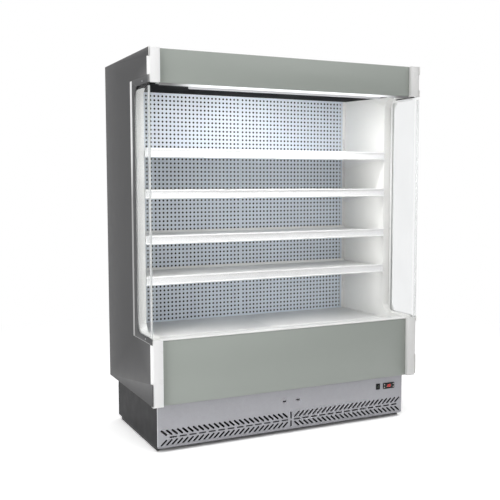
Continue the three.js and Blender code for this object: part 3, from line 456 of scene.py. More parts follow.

# A black rubber lip closes the gap between each side of the surround and the floor; it stands in
# for the shade in that gap, so it is partly painted shade.
side_low, side_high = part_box("plinth_surround")
for way, name in ((-1, "left"), (1, "right")):
    fitting("plinth_lip_" + name, (way * (plinth_half - 0.012), side_low.y + 0.03, 0.0006),
        (way * (plinth_half - 0.009), side_high.y - 0.03, side_low.z + 0.012), 0.001,
        foot_black)

# ---- Switch --------------------------------------------------------------------------------
# A snapped-in lit rocker switch: a black bezel round a black rocker, with a plain line and
# ring for on and off and a small green window that glows.

moulded_black = finish("moulded_black", coat_tree, (0.045, 0.045, 0.05), tone=0.06,
    roughness=0.38, grain_size=1400, strength=0.25, specular=hidden_gloss)
eased_node("switch_housing", moulded_black, 0.0005)
eased_node("rocker", moulded_black, 0.0005)


def glowing(name, colour, strength, shell):
    """A lit plastic whose glow is a little uneven."""
    material = finish(name, coat_tree, shell, roughness=0.25, tone=0.1, cloud_size=60)
    tree = material.node_tree
    shader = tree.nodes["Principled BSDF"]
    flicker = noise(tree, object_place(tree), 90, 2)
    tone = tree.nodes.new("ShaderNodeCombineColor")
    for value, socket in zip(colour, tone.inputs):
        tree.links.new(around(tree, flicker, value, value * 0.15), socket)
    tree.links.new(tone.outputs[0], shader.inputs["Emission Color"])
    shader.inputs["Emission Strength"].default_value = strength
    return material


switch_low, switch_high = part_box("switch_housing")
switch_x = (switch_low.x + switch_high.x) / 2
switch_z = (switch_low.z + switch_high.z) / 2
pin_depth = 0.0067
rocker_rest = radians(9)
pin = Vector((switch_x, switch_low.y + pin_depth, switch_z))
lens_green = glowing("lens_green", (0.2, 0.6, 0.1), 0.04, (0.1, 0.2, 0.1))
mark_white = finish("mark_white", coat_tree, (0.85, 0.85, 0.83), roughness=0.5)


def on_rocker(piece, material):
    """Tips a piece that was drawn on the upright rocker to where the rocker rests."""
    piece.data.transform(Matrix.Translation(pin) @ Matrix.Rotation(rocker_rest, 4, "X"))
    paint(piece, material)
    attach(piece, "switch_rocker")


lens = slab("rocker_lens", (-0.003, -0.0062, -0.0028), (0.003, -0.0045, 0.0028))
on_rocker(ease_edges(lens, 0.0006), lens_green)
line_mark = slab("rocker_line", (-0.00035, -0.00715, 0.0055), (0.00035, -0.0062, 0.0088))
on_rocker(ease_edges(line_mark, 0.0001, 1), mark_white)
ring_middle = (0, -0.0066, -0.0072)
bpy.ops.object.select_all(action="DESELECT")
bpy.ops.mesh.primitive_torus_add(major_segments=24, minor_segments=6, major_radius=0.0017,
    minor_radius=0.0003, location=ring_middle, rotation=(pi / 2, 0, 0))
ring_mark = bpy.context.object
ring_mark.name = "rocker_ring"
bpy.ops.object.transform_apply(location=True, rotation=True)
pick_faces(ring_mark, lambda centre, normal: True)
bpy.ops.transform.resize(value=(1, 0.7, 1), center_override=ring_middle)
bpy.ops.object.mode_set(mode="OBJECT")
on_rocker(ring_mark, mark_white)

# ---- Controller ----------------------------------------------------------------------------
# A snapped-in electronic thermostat: black bezel, a dark window with red seven-segment figures,
# and four small grey keys that travel under a finger.

eased_node("controller", moulded_black, 0.0007)
key_grey = finish("key_grey", coat_tree, (0.7, 0.7, 0.68), roughness=0.5, grain_size=1600)
for i in range(1, 5):
    eased_node(f"key_{i}", key_grey, 0.0006, 3)

case_low, case_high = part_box("controller")
display_x = (case_low.x + case_high.x) / 2
display_z = (case_low.z + case_high.z) / 2
window_black = finish("window_black", coat_tree, (0.05, 0.02, 0.025), roughness=0.12, tone=0.05,
    strength=0.02)
fitting("display_window", (display_x - 0.0228, case_low.y + 0.0003, display_z - 0.0098),
    (display_x + 0.0228, case_low.y + 0.0009, display_z + 0.0098), 0.0003, window_black)

figure_red = glowing("figure_red", (1.0, 0.05, 0.035), 1.05, (0.35, 0.03, 0.03))
segment = slab("segment", (-0.0026, -0.0004, -0.0011), (0.0026, 0.0, 0.0011))
for way in (-1, 1):
    pick_faces(segment, lambda centre, normal: normal.x * way > 0.9)
    bpy.ops.mesh.extrude_region_move(TRANSFORM_OT_translate={"value": (way * 0.0006, 0, 0)})
    bpy.ops.transform.resize(value=(1, 1, 0.15), center_override=(0, 0, 0))
    bpy.ops.object.mode_set(mode="OBJECT")
level = Matrix.Identity(4)
stroke = 0.0034
strokes = {
    "a": (0, 2 * stroke, level), "g": (0, 0, level), "d": (0, -2 * stroke, level),
    "b": (stroke, stroke, on_end), "c": (stroke, -stroke, on_end),
    "f": (-stroke, stroke, on_end), "e": (-stroke, -stroke, on_end),
}
figures = []
for offset, lit in ((-0.0062, "abged"), (0.0062, "abcdef")):
    for letter in lit:
        across, rise, turn = strokes[letter]
        figures.append(Matrix.Translation(
            (display_x + offset + across, case_low.y + 0.0003, display_z + rise)) @ turn)
reading = set_out(segment, "display_figures", figures)
bpy.data.objects.remove(segment)
paint(reading, figure_red)
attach(reading, "cabinet")

# ---- Cooling unit --------------------------------------------------------------------------
# A tray with the condenser, its fan, a hermetic compressor and the electrical box, all behind
# the louvred panel. The tray is zinc darkened as painted shade, so that it reads dark through the
# slots; the box, the fins and the pot are lacquered black.

zinc_painted_shade = finish("zinc_painted_shade", zinc_tree, (0.24, 0.24, 0.25), metallic=0.2, tone=0.12,
    crystals=90, specular=hidden_gloss)
box_black = finish("box_black", coat_tree, (0.08, 0.08, 0.085), tone=0.06, roughness=0.6,
    grain_size=600, strength=0.3, specular=hidden_gloss)
eased_node("unit_tray", zinc_painted_shade, 0.0006)
eased_node("electrical_box", box_black, 0.0012)

fin_tree, fin_in, fin_out = surface_group("fin_pack", [
    ("Colour", (0.5, 0.5, 0.52, 1.0)), ("Tone", 0.2), ("Fins", 180.0), ("Roughness", 0.35)])
place = object_place(fin_tree)
wave = fin_tree.nodes.new("ShaderNodeTexWave")
wave.bands_direction = "X"
wave.inputs["Distortion"].default_value = 0.4
fin_tree.links.new(place, wave.inputs["Vector"])
fin_tree.links.new(fin_in["Fins"], wave.inputs["Scale"])
fins = wave.outputs["Fac"]
tone = around(fin_tree, fins, 0.85, fin_in["Tone"], 0.0, 1.0)
link_surface(fin_tree, fin_out, tinted(fin_tree, fin_in["Colour"], tone),
    around(fin_tree, noise(fin_tree, place, 30, 4), fin_in["Roughness"], 0.1), fins)
fin_metal = finish("fin_metal", fin_tree, (0.73, 0.74, 0.75), bump=0.001, strength=0.5,
    metallic=0.8)
fin_black = finish("fin_black", fin_tree, (0.07, 0.07, 0.075), bump=0.001, strength=0.5,
    roughness=0.5, specular=hidden_gloss)
eased_node("condenser", fin_black, 0.0003, 1)
eased_node("condenser_fan_mount", moulded_black, 0.0006)
eased_node("condenser_fan", moulded_black, 0.0006)
pot_black = finish("pot_black", coat_tree, (0.06, 0.06, 0.062), tone=0.1, roughness=0.55,
    grain_size=260, strength=0.3, specular=hidden_gloss)
eased_node("compressor", pot_black, 0.002, 3)

# ---- Insulated body ------------------------------------------------------------------------
# Foamed panels between galvanised skins: the tub under the deck, the ribbed rear wall and
# the roof. Pan-head screws hold the rear wall along its edges.

skin_zinc = finish("skin_zinc", zinc_tree, (0.62, 0.62, 0.64), metallic=0.4, tone=0.1, crystals=110)
eased_node("insulated_tub", skin_zinc, 0.002)
rear_wall = eased_node("rear_wall", skin_zinc, 0.0012)
eased_node("roof_panel", skin_zinc, 0.0015)
bright_steel = finish("bright_steel", coat_tree, (0.72, 0.72, 0.73), metallic=0.9, roughness=0.28,
    grain_size=1500, strength=0.1)


def screw_head(radius, rise):
    """A domed screw head with a cross recess, facing -Y, standing on the origin."""
    bpy.ops.object.select_all(action="DESELECT")
    bpy.ops.mesh.primitive_cylinder_add(vertices=20, radius=radius, depth=rise * 0.5,
        location=(0, -rise * 0.25, 0), rotation=(pi / 2, 0, 0))
    head = bpy.context.object
    bpy.ops.object.transform_apply(location=True, rotation=True)
    pick_faces(head, lambda centre, normal: normal.y < -0.9)
    for shrink, lift in ((0.82, 0.3), (0.5, 0.2)):
        bpy.ops.mesh.extrude_region_move(TRANSFORM_OT_translate={"value": (0, -rise * lift, 0)})
        bpy.ops.transform.resize(value=(shrink, 1, shrink), center_override=(0, 0, 0))
    bpy.ops.object.mode_set(mode="OBJECT")
    arm, slit = radius * 0.5, radius * 0.12
    for reach in ((arm, slit), (slit, arm)):
        punch(head, slab("recess", (-reach[0], -rise * 1.5, -reach[1]),
            (reach[0], -rise * 0.4, reach[1])))
    bpy.ops.object.shade_smooth_by_angle(angle=radians(35))
    return head


wall_low, wall_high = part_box("rear_wall")
pan_head = screw_head(0.0045, 0.002)
rear_turn = Matrix.Rotation(pi, 4, "Z")
rear_screws = set_out(pan_head, "rear_screws", [
    Matrix.Translation((way * (wall_high.x - 0.018), wall_high.y, wall_low.z + 0.06 + i * 0.24))
    @ rear_turn for way in (-1, 1) for i in range(8)] + [
    Matrix.Translation((wall_high.x * (i - 3.5) / 3.9, wall_high.y, z)) @ rear_turn
    for z in (wall_low.z + 0.025, wall_high.z - 0.025) for i in range(8)])
paint(rear_screws, bright_steel)
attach(rear_screws, "cabinet")

# ---- End walls -----------------------------------------------------------------------------
# Each end is a white foamed wall with a wide reveal for the window, closed outside by a folded
# cover in satin grey. A dark band sits flush in the cover round the clear part of the glass.

liner_white = finish("liner_white", coat_tree, (0.93, 0.93, 0.92), tone=0.012, roughness=0.33,
    grain_size=800, strength=0.12)
cover_grey = finish("cover_grey", coat_tree, (0.365, 0.365, 0.368), tone=0.03, cloud_size=1.2,
    roughness=0.36, grain_size=1100, strength=0.22, specular=satin_gloss)
band_grey = finish("band_grey", coat_tree, (0.37, 0.372, 0.375), tone=0.04, roughness=0.42,
    grain_size=1300, strength=0.3, specular=satin_gloss)
shade_gloss = 0.02
painted_shade_black = finish("painted_shade_black", coat_tree, (0.05, 0.05, 0.052), tone=0.05, roughness=0.6,
    specular=shade_gloss)


def second_finish(piece, material, wanted):
    """Gives the faces whose centre and normal are wanted another finish."""
    piece.data.materials.append(material)
    for face in piece.data.polygons:
        if wanted(face.center, face.normal):
            face.material_index = len(piece.data.materials) - 1


# The clear part of the band reaches a little higher than its solid, and the finishes of its
# edges follow the light that falls on each side.
band_rise = 0.014
for side in ("right", "left"):
    end_wall = eased_node("end_wall_" + side, liner_white, 0.0025, 3)
    # On the left the underside of the reveal's top is painted black as shade; the right one stays
    # white.
    if side == "left":
        second_finish(end_wall, painted_shade_black,
            lambda centre, normal: normal.z < -0.88 and centre.z > 1.9)
    cover = eased_node("side_cover_" + side, cover_grey, 0.0012)
    # The cover's front hem and, on the right, its inner face take the liner's white where they look
    # lit: all the way down on the right, above 0.37 m on the left. This is painted light.
    second_finish(cover, liner_white, lambda centre, normal: normal.y < -0.6
        and centre.y < -0.38 and (side == "right" or centre.z > 0.37))
    if side == "right":
        second_finish(cover, liner_white,
            lambda centre, normal: normal.x < -0.9 and centre.x > 0.8)
    node = "window_frame_" + side
    low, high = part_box(node)
    band = copy_of(node, node + "_finished")
    shift_corners(band, lambda place: high.z - 0.06 < place.z < high.z - 0.045,
        (0, 0, band_rise))
    ease_edges(band, 0.001)
    stand_for(band, node, band_grey)
    second_finish(band, liner_white,
        lambda centre, normal: normal.x * centre.x < 0 and abs(normal.x) > 0.5)
    if side == "right":
        second_finish(band, liner_white, lambda centre, normal: abs(normal.x) < 0.5
            and low.z + 0.01 < centre.z < high.z - 0.01 and centre.y < high.y - 0.02)

# Inside the duct the rear wall's front faces are painted black as shade, which shows through the
# perforation.
second_finish(rear_wall, painted_shade_black, lambda centre, normal: normal.y < -0.5)

# A pale trim profile closes the joint between the cover and the band behind the window, and
# four pan-head screws hold the band.
# The trim is darker below 1.62 m and darkest under 1.35 m: painted shade, the top being where the
# light falls.
trim_tree, trim_in, trim_out = surface_group("trim_painted_shade", [
    ("Colour", (0.9, 0.9, 0.9, 1.0)), ("Lower", 0.5), ("Roughness", 0.35)])
place = object_place(trim_tree)
axes = trim_tree.nodes.new("ShaderNodeSeparateXYZ")
trim_tree.links.new(place, axes.inputs[0])
fade = mapped(trim_tree, axes.outputs["Z"], 1.35, 1.62, trim_in["Lower"], 1.0)
link_surface(trim_tree, trim_out, tinted(trim_tree, trim_in["Colour"], fade),
    around(trim_tree, noise(trim_tree, place, 20, 3), trim_in["Roughness"], 0.04),
    noise(trim_tree, place, 700, 2))
trim_white = finish("trim_white", trim_tree, (0.97, 0.97, 0.97), lower=0.36)
for side, way in (("right", 1), ("left", -1)):
    low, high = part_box("window_frame_" + side)
    outside = way * max(abs(low.x), abs(high.x))
    fitting("window_trim_" + side, (outside + way * 0.0005, high.y - 0.019, low.z + 0.002),
        (outside + way * 0.0032, high.y + 0.008, high.z - 0.004), 0.0005, trim_white)
    fitting("sill_trim_" + side, (outside - way * 0.001, low.y + 0.03, low.z + 0.0003),
        (outside + way * 0.0008, high.y - 0.012, low.z + 0.0033), 0.0004, trim_white)
    outward = Matrix.Rotation(way * pi / 2, 4, "Z")
    band_screws = set_out(pan_head, "band_screws_" + side, [
        Matrix.Translation((outside, y, z)) @ outward for y, z in (
            (low.y + 0.105, low.z + 0.017), (low.y + 0.105, high.z - 0.022),
            (high.y - 0.02, 1.625), (high.y - 0.02, 0.967))])
    paint(band_screws, bright_steel)
    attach(band_screws, "cabinet")
bpy.data.objects.remove(pan_head)

# ---- Side glass ----------------------------------------------------------------------------
# Double glazing: two clear panes on a pale spacer bar. At the front only the outer pane reaches
# the edge, where a translucent moulded profile guards it under a small clip.


def clear_sheet(name, size, detail, roughness, colour, unevenness):
    """A clear material under a thin uneven film, and the mask of that film."""
    material = bpy.data.materials.new(name)
    material.use_nodes = True
    tree = material.node_tree
    shader = tree.nodes["Principled BSDF"]
    film = noise(tree, object_place(tree), size, detail)
    tree.links.new(around(tree, film, *roughness), shader.inputs["Roughness"])
    tone = tree.nodes.new("ShaderNodeCombineColor")
    for value, socket in zip(colour, tone.inputs):
        tree.links.new(around(tree, film, value, unevenness), socket)
    tree.links.new(tone.outputs[0], shader.inputs["Base Color"])
    return material, film


# Light passes the glass almost unweakened, and the glass reflects only weakly.
clear_glass, film = clear_sheet("clear_glass", 5, 4, (0.03, 0.02), (0.94, 0.945, 0.947), 0.01)
tree = clear_glass.node_tree
shader = tree.nodes["Principled BSDF"]
shader.inputs["Transmission Weight"].default_value = 1.0
shader.inputs["IOR"].default_value = 1.05
rays = tree.nodes.new("ShaderNodeLightPath")
tree.links.new(mapped(tree, rays.outputs["Is Shadow Ray"], 0, 1, 1.0, 0.08),
    shader.inputs["Alpha"])
spacer_pale = finish("spacer_pale", coat_tree, (0.88, 0.89, 0.89), roughness=0.4, tone=0.04)
edge_clear = finish("edge_clear", coat_tree, (0.93, 0.94, 0.94), roughness=0.2, tone=0.03,
    grain_size=300, strength=0.05)
tree = edge_clear.node_tree
film = noise(tree, object_place(tree), 12, 3)
tree.links.new(around(tree, film, 0.42, 0.04), tree.nodes["Principled BSDF"].inputs["Alpha"])
rim_pale = finish("rim_pale", coat_tree, (0.93, 0.93, 0.93), roughness=0.3, tone=0.01)

front_step = 0.027
pane_cut = 0.008
rim_width = 0.0198
profile_inside, profile_outside = 0.8340, 0.8417
for side, way in (("right", 1), ("left", -1)):
    low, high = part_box("window_frame_" + side)
    face = high.x if way > 0 else low.x
    fitting("edge_clip_" + side, (face, low.y + 0.0006, high.z - 0.038),
        (face + way * 0.0007, low.y + 0.012, high.z - 0.001), 0.0003, edge_clear)
    node = "side_glass_" + side
    low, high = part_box(node)
    near, far = (low.x, high.x) if way > 0 else (high.x, low.x)
    outer_pane = copy_of(node, "outer_pane_" + side)
    shift_corners(outer_pane, lambda place: abs(place.x - near) < 0.0001,
        (way * pane_cut, 0, 0))
    inner_pane = copy_of(node, "inner_pane_" + side)
    shift_corners(inner_pane, lambda place: abs(place.x - far) < 0.0001,
        (-way * pane_cut, 0, 0))
    shift_corners(inner_pane, lambda place: place.y < low.y + 0.001, (0, front_step, 0))
    pick_faces(inner_pane, lambda centre, normal: normal.x * way < -0.9)
    bpy.ops.mesh.inset(thickness=rim_width)
    bpy.ops.object.mode_set(mode="OBJECT")
    for pane in (outer_pane, inner_pane):
        ease_edges(pane, 0.0006)
        stand_for(pane, node, clear_glass)

    # The printed rim of the inner pane hides the seal, except along the open front edge.
    def on_rim(centre, normal):
        return normal.x * way < -0.9 and centre.y > low.y + front_step + 0.03 and not (
            low.z + 0.03 < centre.z < high.z - 0.03 and centre.y < high.y - 0.022)

    second_finish(inner_pane, rim_pale, on_rim)
    spacer = copy_of(node, "spacer_bar_" + side)
    shift_corners(spacer, lambda place: place.y < low.y + 0.001, (0, front_step, 0))
    pick_faces(spacer, lambda centre, normal: abs(normal.x) > 0.5 or normal.y < -0.9)
    bpy.ops.mesh.delete(type="FACE")
    bpy.ops.mesh.select_all(action="SELECT")
    bpy.ops.transform.resize(value=(0.32, 1, 1), center_override=((near + far) / 2, 0, 0))
    bpy.ops.object.mode_set(mode="OBJECT")
    wall = spacer.modifiers.new("wall", "SOLIDIFY")
    wall.thickness = 0.003
    wall.offset = -1
    wall.use_even_offset = True
    bpy.ops.object.modifier_apply(modifier=wall.name)
    ease_edges(spacer, 0.0003, 1)
    stand_for(spacer, node, spacer_pale)
    # On the left the top of the printed rim and of the spacer are painted black as shade.
    if side == "left":
        second_finish(inner_pane, painted_shade_black,
            lambda centre, normal: on_rim(centre, normal) and centre.z > high.z - 0.03)
        second_finish(spacer, painted_shade_black, lambda centre, normal: centre.z > high.z - 0.03)
    fitting("edge_profile_" + side, (way * profile_inside, low.y - 0.0012, low.z + 0.009),
        (way * profile_outside, low.y + 0.016, high.z - 0.021), 0.0012, edge_clear, 3)
    # A black rubber lip seals the upper edge of the glass against the end wall.
    fitting("glass_seal_" + side, (near - way * 0.0002, low.y + front_step, high.z - 0.007),
        (near - way * 0.0014, low.y + 0.205, high.z - 0.0012), 0.0005, foot_black)

# ---- Canopy --------------------------------------------------------------------------------
# A folded front in grey-green powder coat between two white mouldings. Under it hang the lamp
# and, behind the lamp, the black ceiling with the outlet of the air curtain.

panel_green = finish("panel_green", coat_tree, (0.616, 0.639, 0.616), tone=0.012, cloud_size=1.5,
    roughness=0.38, grain_size=1000, strength=0.2)
cap_white = finish("cap_white", coat_tree, (0.985, 0.985, 0.985), tone=0.01, roughness=0.3,
    grain_size=1600, strength=0.1)
# The right-hand mouldings are a darker copy of the same white: painted shade.
cap_painted_shade = finish("cap_painted_shade", coat_tree, (0.875, 0.875, 0.87), tone=0.01, roughness=0.3,
    grain_size=1600, strength=0.1)
ceiling_black = finish("ceiling_black", coat_tree, (0.055, 0.055, 0.06), tone=0.06,
    roughness=0.6, grain_size=900, strength=0.25, specular=shade_gloss)
grid_black = finish("grid_black", coat_tree, (0.08, 0.08, 0.085), tone=0.06, roughness=0.45,
    specular=shade_gloss)
eased_node("canopy_fascia", panel_green, 0.0009)
eased_node("canopy_cap_right", cap_painted_shade, 0.0018, 3)
eased_node("canopy_cap_left", cap_white, 0.0018, 3)
eased_node("ceiling_panel", ceiling_black, 0.0006)
eased_node("air_honeycomb", grid_black, 0.0004, 1)

# The lamp: an extruded housing with two lobes. The front lobe is lit, the rear lobe has a weak
# painted gleam.
lamp_low, lamp_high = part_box("lamp")


def lamp_and_painted_glow(name, shell):
    """Opal plastic lit along the front lobe, fading out past the ends of the lamp; the weak glow of
    the rear lobe and all the glow on the lip are painted light.
    """
    material = finish(name, coat_tree, shell, roughness=0.4)
    tree = material.node_tree
    shader = tree.nodes["Principled BSDF"]
    place = object_place(tree)
    axes = tree.nodes.new("ShaderNodeSeparateXYZ")
    tree.links.new(place, axes.inputs[0])
    from_middle = calculated(tree, "ABSOLUTE", axes.outputs["X"])
    along = mapped(tree, from_middle, lamp_high.x - 0.07, lamp_high.x + 0.13, 1.0, 0.0, True)
    rearward = mapped(tree, axes.outputs["Y"], lamp_low.y + 0.006, lamp_low.y + 0.010, 1.0, 0.1,
        True)
    lit = calculated(tree, "MULTIPLY", along, rearward)
    cloud = noise(tree, place, 6, 1)
    cool = tree.nodes.new("ShaderNodeCombineColor")
    for value, socket in zip((0.96, 0.98, 1.0), cool.inputs):
        tree.links.new(calculated(tree, "MULTIPLY", lit, around(tree, cloud, value, 0.01)), socket)
    tree.links.new(cool.outputs[0], shader.inputs["Emission Color"])
    shader.inputs["Emission Strength"].default_value = 1.1
    return material


eased_node("lamp", lamp_and_painted_glow("lamp_glow_and_painted_gleam", (0.78, 0.78, 0.79)), 0.0006)

# A lip in front of the lamp runs along the whole lower edge of the front; the lamp's light on it
# is painted on as a glow that fades out past the lamp's ends.
fascia_low, fascia_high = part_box("canopy_fascia")
lip = slab("lamp_lip", (fascia_low.x + 0.0005, lamp_low.y - 0.0075, fascia_low.z - 0.012),
    (fascia_high.x - 0.0005, lamp_low.y - 0.0015, fascia_low.z - 0.0004))
pick_faces(lip, lambda centre, normal: normal.z < -0.9)
bpy.ops.transform.resize(value=(1, 0.5, 1), center_override=(0, lamp_low.y - 0.0015, 0))
bpy.ops.object.mode_set(mode="OBJECT")
ease_edges(lip, 0.0009, 3)
paint(lip, lamp_and_painted_glow("lip_painted_light", (0.5, 0.5, 0.5)))
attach(lip, "cabinet")

# ---- Bumper --------------------------------------------------------------------------------
# The deep grey-green panel over the tub, between two white mouldings like the canopy's, and a
# white rail that closes its upper edge.

eased_node("bumper_panel", panel_green, 0.0009)
# The right moulding is again the darker copy of the white: painted shade.
eased_node("bumper_cap_right", cap_painted_shade, 0.0018, 3)
eased_node("bumper_cap_left", cap_white, 0.0018, 3)
rail_white = finish("rail_white", coat_tree, (0.93, 0.93, 0.925), tone=0.012, roughness=0.32,
    grain_size=1000, strength=0.15)
eased_node("front_rail", rail_white, 0.0006)

# ---- Air path ------------------------------------------------------------------------------
# White coated steel: the return grille and two lift-out deck pans. Behind them are the fan plate
# in darkened zinc with its fans, and the evaporator behind it.

coat_white = finish("coat_white", coat_tree, (0.94, 0.94, 0.935), tone=0.012, roughness=0.34,
    grain_size=900, strength=0.15)
eased_node("return_grille", coat_white, 0.0005)
for side in ("right", "left"):
    eased_node("deck_pan_" + side, coat_white, 0.0007)
    eased_node("evaporator_fan_" + side, moulded_black, 0.0006)
# The fan plate takes the zinc darkened as painted shade.
eased_node("fan_plate", zinc_painted_shade, 0.0005)
eased_node("evaporator", fin_metal, 0.0003, 1)

# ---- Perforated back -----------------------------------------------------------------------
# Two white coated sheets with a hole every 25 mm that lets the cold air in between the shelves.
# One cell is modelled and repeated, and the edges are turned back towards the duct.

back_grey = finish("back_grey", coat_tree, (0.87, 0.9, 0.935), tone=0.02, roughness=0.4,
    grain_size=900, strength=0.15)
hole_pitch = 0.025
hole_width = 0.012
chamfer_share = 0.2929


def perforated_sheet(side):
    """One half of the back: cells in rows, stretched to the sheet's edges, with turned edges."""
    low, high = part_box("duct_panel_" + side)
    columns = int((high.x - low.x) / hole_pitch)
    rows = int((high.z - low.z) / hole_pitch)
    start_x = (low.x + high.x) / 2 - columns * hole_pitch / 2 + hole_pitch / 2
    start_z = (low.z + high.z) / 2 - rows * hole_pitch / 2 + hole_pitch / 2
    start = Vector((start_x, low.y, start_z))
    bpy.ops.object.select_all(action="DESELECT")
    bpy.ops.mesh.primitive_plane_add(size=hole_pitch, location=start, rotation=(pi / 2, 0, 0))
    sheet = bpy.context.object
    sheet.name = "perforated_sheet_" + side
    bpy.ops.object.transform_apply(location=True, rotation=True)
    pick_faces(sheet, lambda centre, normal: True)
    bpy.ops.mesh.inset(thickness=(hole_pitch - hole_width) / 2)
    bpy.ops.mesh.bevel(affect="VERTICES", offset=hole_width * chamfer_share)
    bpy.ops.object.mode_set(mode="OBJECT")
    hole = min(sheet.data.polygons, key=lambda face: (face.center - start).length).center.copy()
    pick_faces(sheet, lambda centre, normal: (centre - hole).length < 0.0005)
    bpy.ops.mesh.delete(type="FACE")
    bpy.ops.object.mode_set(mode="OBJECT")
    for label, count, step in (("columns", columns, (hole_pitch, 0, 0)),
            ("rows", rows, (0, 0, hole_pitch))):
        line = sheet.modifiers.new(label, "ARRAY")
        line.count = count
        line.use_relative_offset = False
        line.use_constant_offset = True
        line.constant_offset_displace = step
        line.use_merge_vertices = True
        line.merge_threshold = 0.0002
        pick_only(sheet)
        bpy.ops.object.modifier_apply(modifier=line.name)
    first_x, last_x = start_x - hole_pitch / 2, start_x + (columns - 0.5) * hole_pitch
    first_z, last_z = start_z - hole_pitch / 2, start_z + (rows - 0.5) * hole_pitch
    for wanted, move in (
            (lambda place: place.x < first_x + 0.0005, (low.x - first_x, 0, 0)),
            (lambda place: place.x > last_x - 0.0005, (high.x - last_x, 0, 0)),
            (lambda place: place.z < first_z + 0.0005, (0, 0, low.z - first_z)),
            (lambda place: place.z > last_z - 0.0005, (0, 0, high.z - last_z))):
        shift_corners(sheet, wanted, move)
    for edge_x in (low.x, high.x):
        pick_corners(sheet, lambda place: abs(place.x - edge_x) < 0.0002)
        bpy.ops.mesh.extrude_edges_move(TRANSFORM_OT_translate={"value": (0, 0.012, 0)})
        bpy.ops.object.mode_set(mode="OBJECT")
    pick_faces(sheet, lambda centre, normal: True)
    bpy.ops.mesh.normals_make_consistent(inside=False)
    bpy.ops.object.mode_set(mode="OBJECT")
    if min(sheet.data.polygons, key=lambda face: face.center.y).normal.y > 0:
        sheet.data.flip_normals()
    wall = sheet.modifiers.new("wall", "SOLIDIFY")
    wall.thickness = 0.0012
    wall.offset = -1
    pick_only(sheet)
    bpy.ops.object.modifier_apply(modifier=wall.name)
    stand_for(sheet, "duct_panel_" + side, back_grey)


for side in ("right", "left"):
    perforated_sheet(side)

# ---- Shelving ------------------------------------------------------------------------------
# Slotted uprights at both ends carry white coated shelves on welded side brackets. A price rail
# is clipped to each front edge, with a clear strip that holds the tickets.

for side in ("right", "left"):
    eased_node("upright_" + side, coat_white, 0.0004)
for i in range(1, 5):
    eased_node(f"shelf_{i}", coat_white, 0.0006)
    eased_node(f"price_rail_{i}", cap_white, 0.0004)

ticket_clear, film = clear_sheet("ticket_clear", 9, 3, (0.16, 0.05), (0.95, 0.96, 0.965), 0.02)
tree = ticket_clear.node_tree
tree.links.new(around(tree, film, 0.14, 0.02), tree.nodes["Principled BSDF"].inputs["Alpha"])
for i in range(1, 5):
    low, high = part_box(f"price_rail_{i}")
    strip = slab(f"ticket_strip_{i}", (low.x + 0.002, high.y - 0.0042, low.z + 0.0022),
        (high.x - 0.002, high.y - 0.0037, high.z - 0.0016))
    shift_corners(strip, lambda place: place.z < low.z + 0.01, (0, 0.0004, 0))
    ease_edges(strip, 0.0001, 1)
    paint(strip, ticket_clear)
    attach(strip, "cabinet")

# ---- Studio --------------------------------------------------------------------------------
# A pale floor that keeps the shadow, a white surround, a large soft lamp overhead, two more at
# the front and the left, the light of the cabinet's own lamp, and a weak fill inside.


def seen_directly(tree):
    """1 where the studio is seen itself, through glass or in a reflection, and otherwise 0."""
    rays = tree.nodes.new("ShaderNodeLightPath").outputs
    seen = calculated(tree, "MAXIMUM", rays["Is Camera Ray"], rays["Is Transmission Ray"])
    return calculated(tree, "MAXIMUM", seen, rays["Is Glossy Ray"])


scene = bpy.context.scene
scene.view_settings.view_transform = "Standard"
bpy.ops.object.select_all(action="DESELECT")
bpy.ops.mesh.primitive_plane_add(size=80, location=(0, 0, 0))
floor = bpy.context.object
floor.name = "studio_floor"
floor_pale = bpy.data.materials.new("floor_pale")
floor_pale.use_nodes = True
tree = floor_pale.node_tree
tree.nodes.remove(tree.nodes["Principled BSDF"])
matt = tree.nodes.new("ShaderNodeBsdfDiffuse")
glow = tree.nodes.new("ShaderNodeEmission")
total = tree.nodes.new("ShaderNodeAddShader")

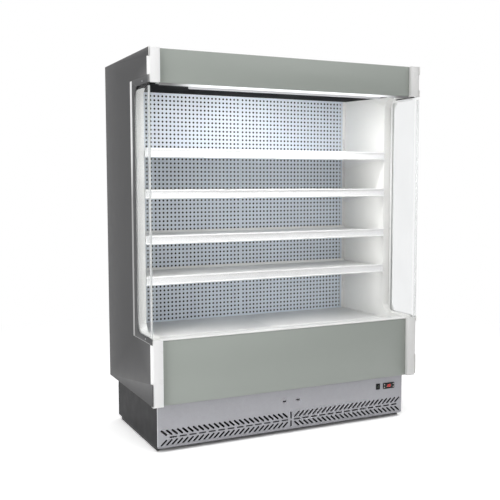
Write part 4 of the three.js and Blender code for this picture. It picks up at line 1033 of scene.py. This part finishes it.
# Near the cabinet the floor is a matt white that takes the shadow. It turns into plain light
# from near_reach to far_reach, so that it ends in the same white as the surround.
floor_white, floor_bounce = 1.9, 0.88
near_reach, far_reach = 1.3, 4.0
seen = seen_directly(tree)
paleness = mapped(tree, seen, 0, 1, floor_bounce, floor_white)
reach = tree.nodes.new("ShaderNodeVectorMath")
reach.operation = "LENGTH"
tree.links.new(object_place(tree), reach.inputs[0])
fade = mapped(tree, reach.outputs["Value"], near_reach, far_reach, 0, 1, True)
far_glow = calculated(tree, "MULTIPLY", fade, seen)
nearby = calculated(tree, "MULTIPLY_ADD", far_glow, -floor_white, paleness)
tree.links.new(far_glow, glow.inputs["Strength"])
tree.links.new(nearby, matt.inputs["Color"])
tree.links.new(matt.outputs[0], total.inputs[0])
tree.links.new(glow.outputs[0], total.inputs[1])
tree.links.new(total.outputs[0], tree.nodes["Material Output"].inputs["Surface"])
floor.data.materials.append(floor_pale)

world = bpy.data.worlds.new("surround")
scene.world = world
world.use_nodes = True
tree = world.node_tree
sky = tree.nodes["Background"]
sky.inputs["Color"].default_value = (1, 1, 1, 1)
surround_light = 0.42
tree.links.new(mapped(tree, seen_directly(tree), 0, 1, surround_light, 1.0),
    sky.inputs["Strength"])


def soft_lamp(name, place, aim, width, height, power):
    """A rectangular studio lamp that looks at a point."""
    bpy.ops.object.select_all(action="DESELECT")
    turn = (Vector(aim) - Vector(place)).to_track_quat("-Z", "Y").to_euler()
    bpy.ops.object.light_add(type="AREA", location=place, rotation=turn)
    lamp = bpy.context.object
    lamp.name = name
    lamp.data.shape = "RECTANGLE"
    lamp.data.size = width
    lamp.data.size_y = height
    lamp.data.energy = power
    lamp.visible_camera = False


soft_lamp("overhead_lamp", (0, -1.0, 5.2), (0, -0.6, 0), 7.0, 6.0, 120)
soft_lamp("front_lamp", (2.4, -4.6, 4.0), (0.2, -0.4, 1.0), 4.0, 3.0, 44)
soft_lamp("left_lamp", (-3.6, -1.7, 1.4), (-0.85, -0.4, 1.1), 1.8, 2.2, 45)
soft_lamp("canopy_light", (0, lamp_low.y + 0.03, lamp_low.z - 0.006), (0, 0.15, 1.2),
    lamp_high.x * 1.75, 0.02, 6.3)
soft_lamp("inside_fill", (0, -0.12, 1.2), (0, 1.0, 1.2), 1.5, 1.0, 3)
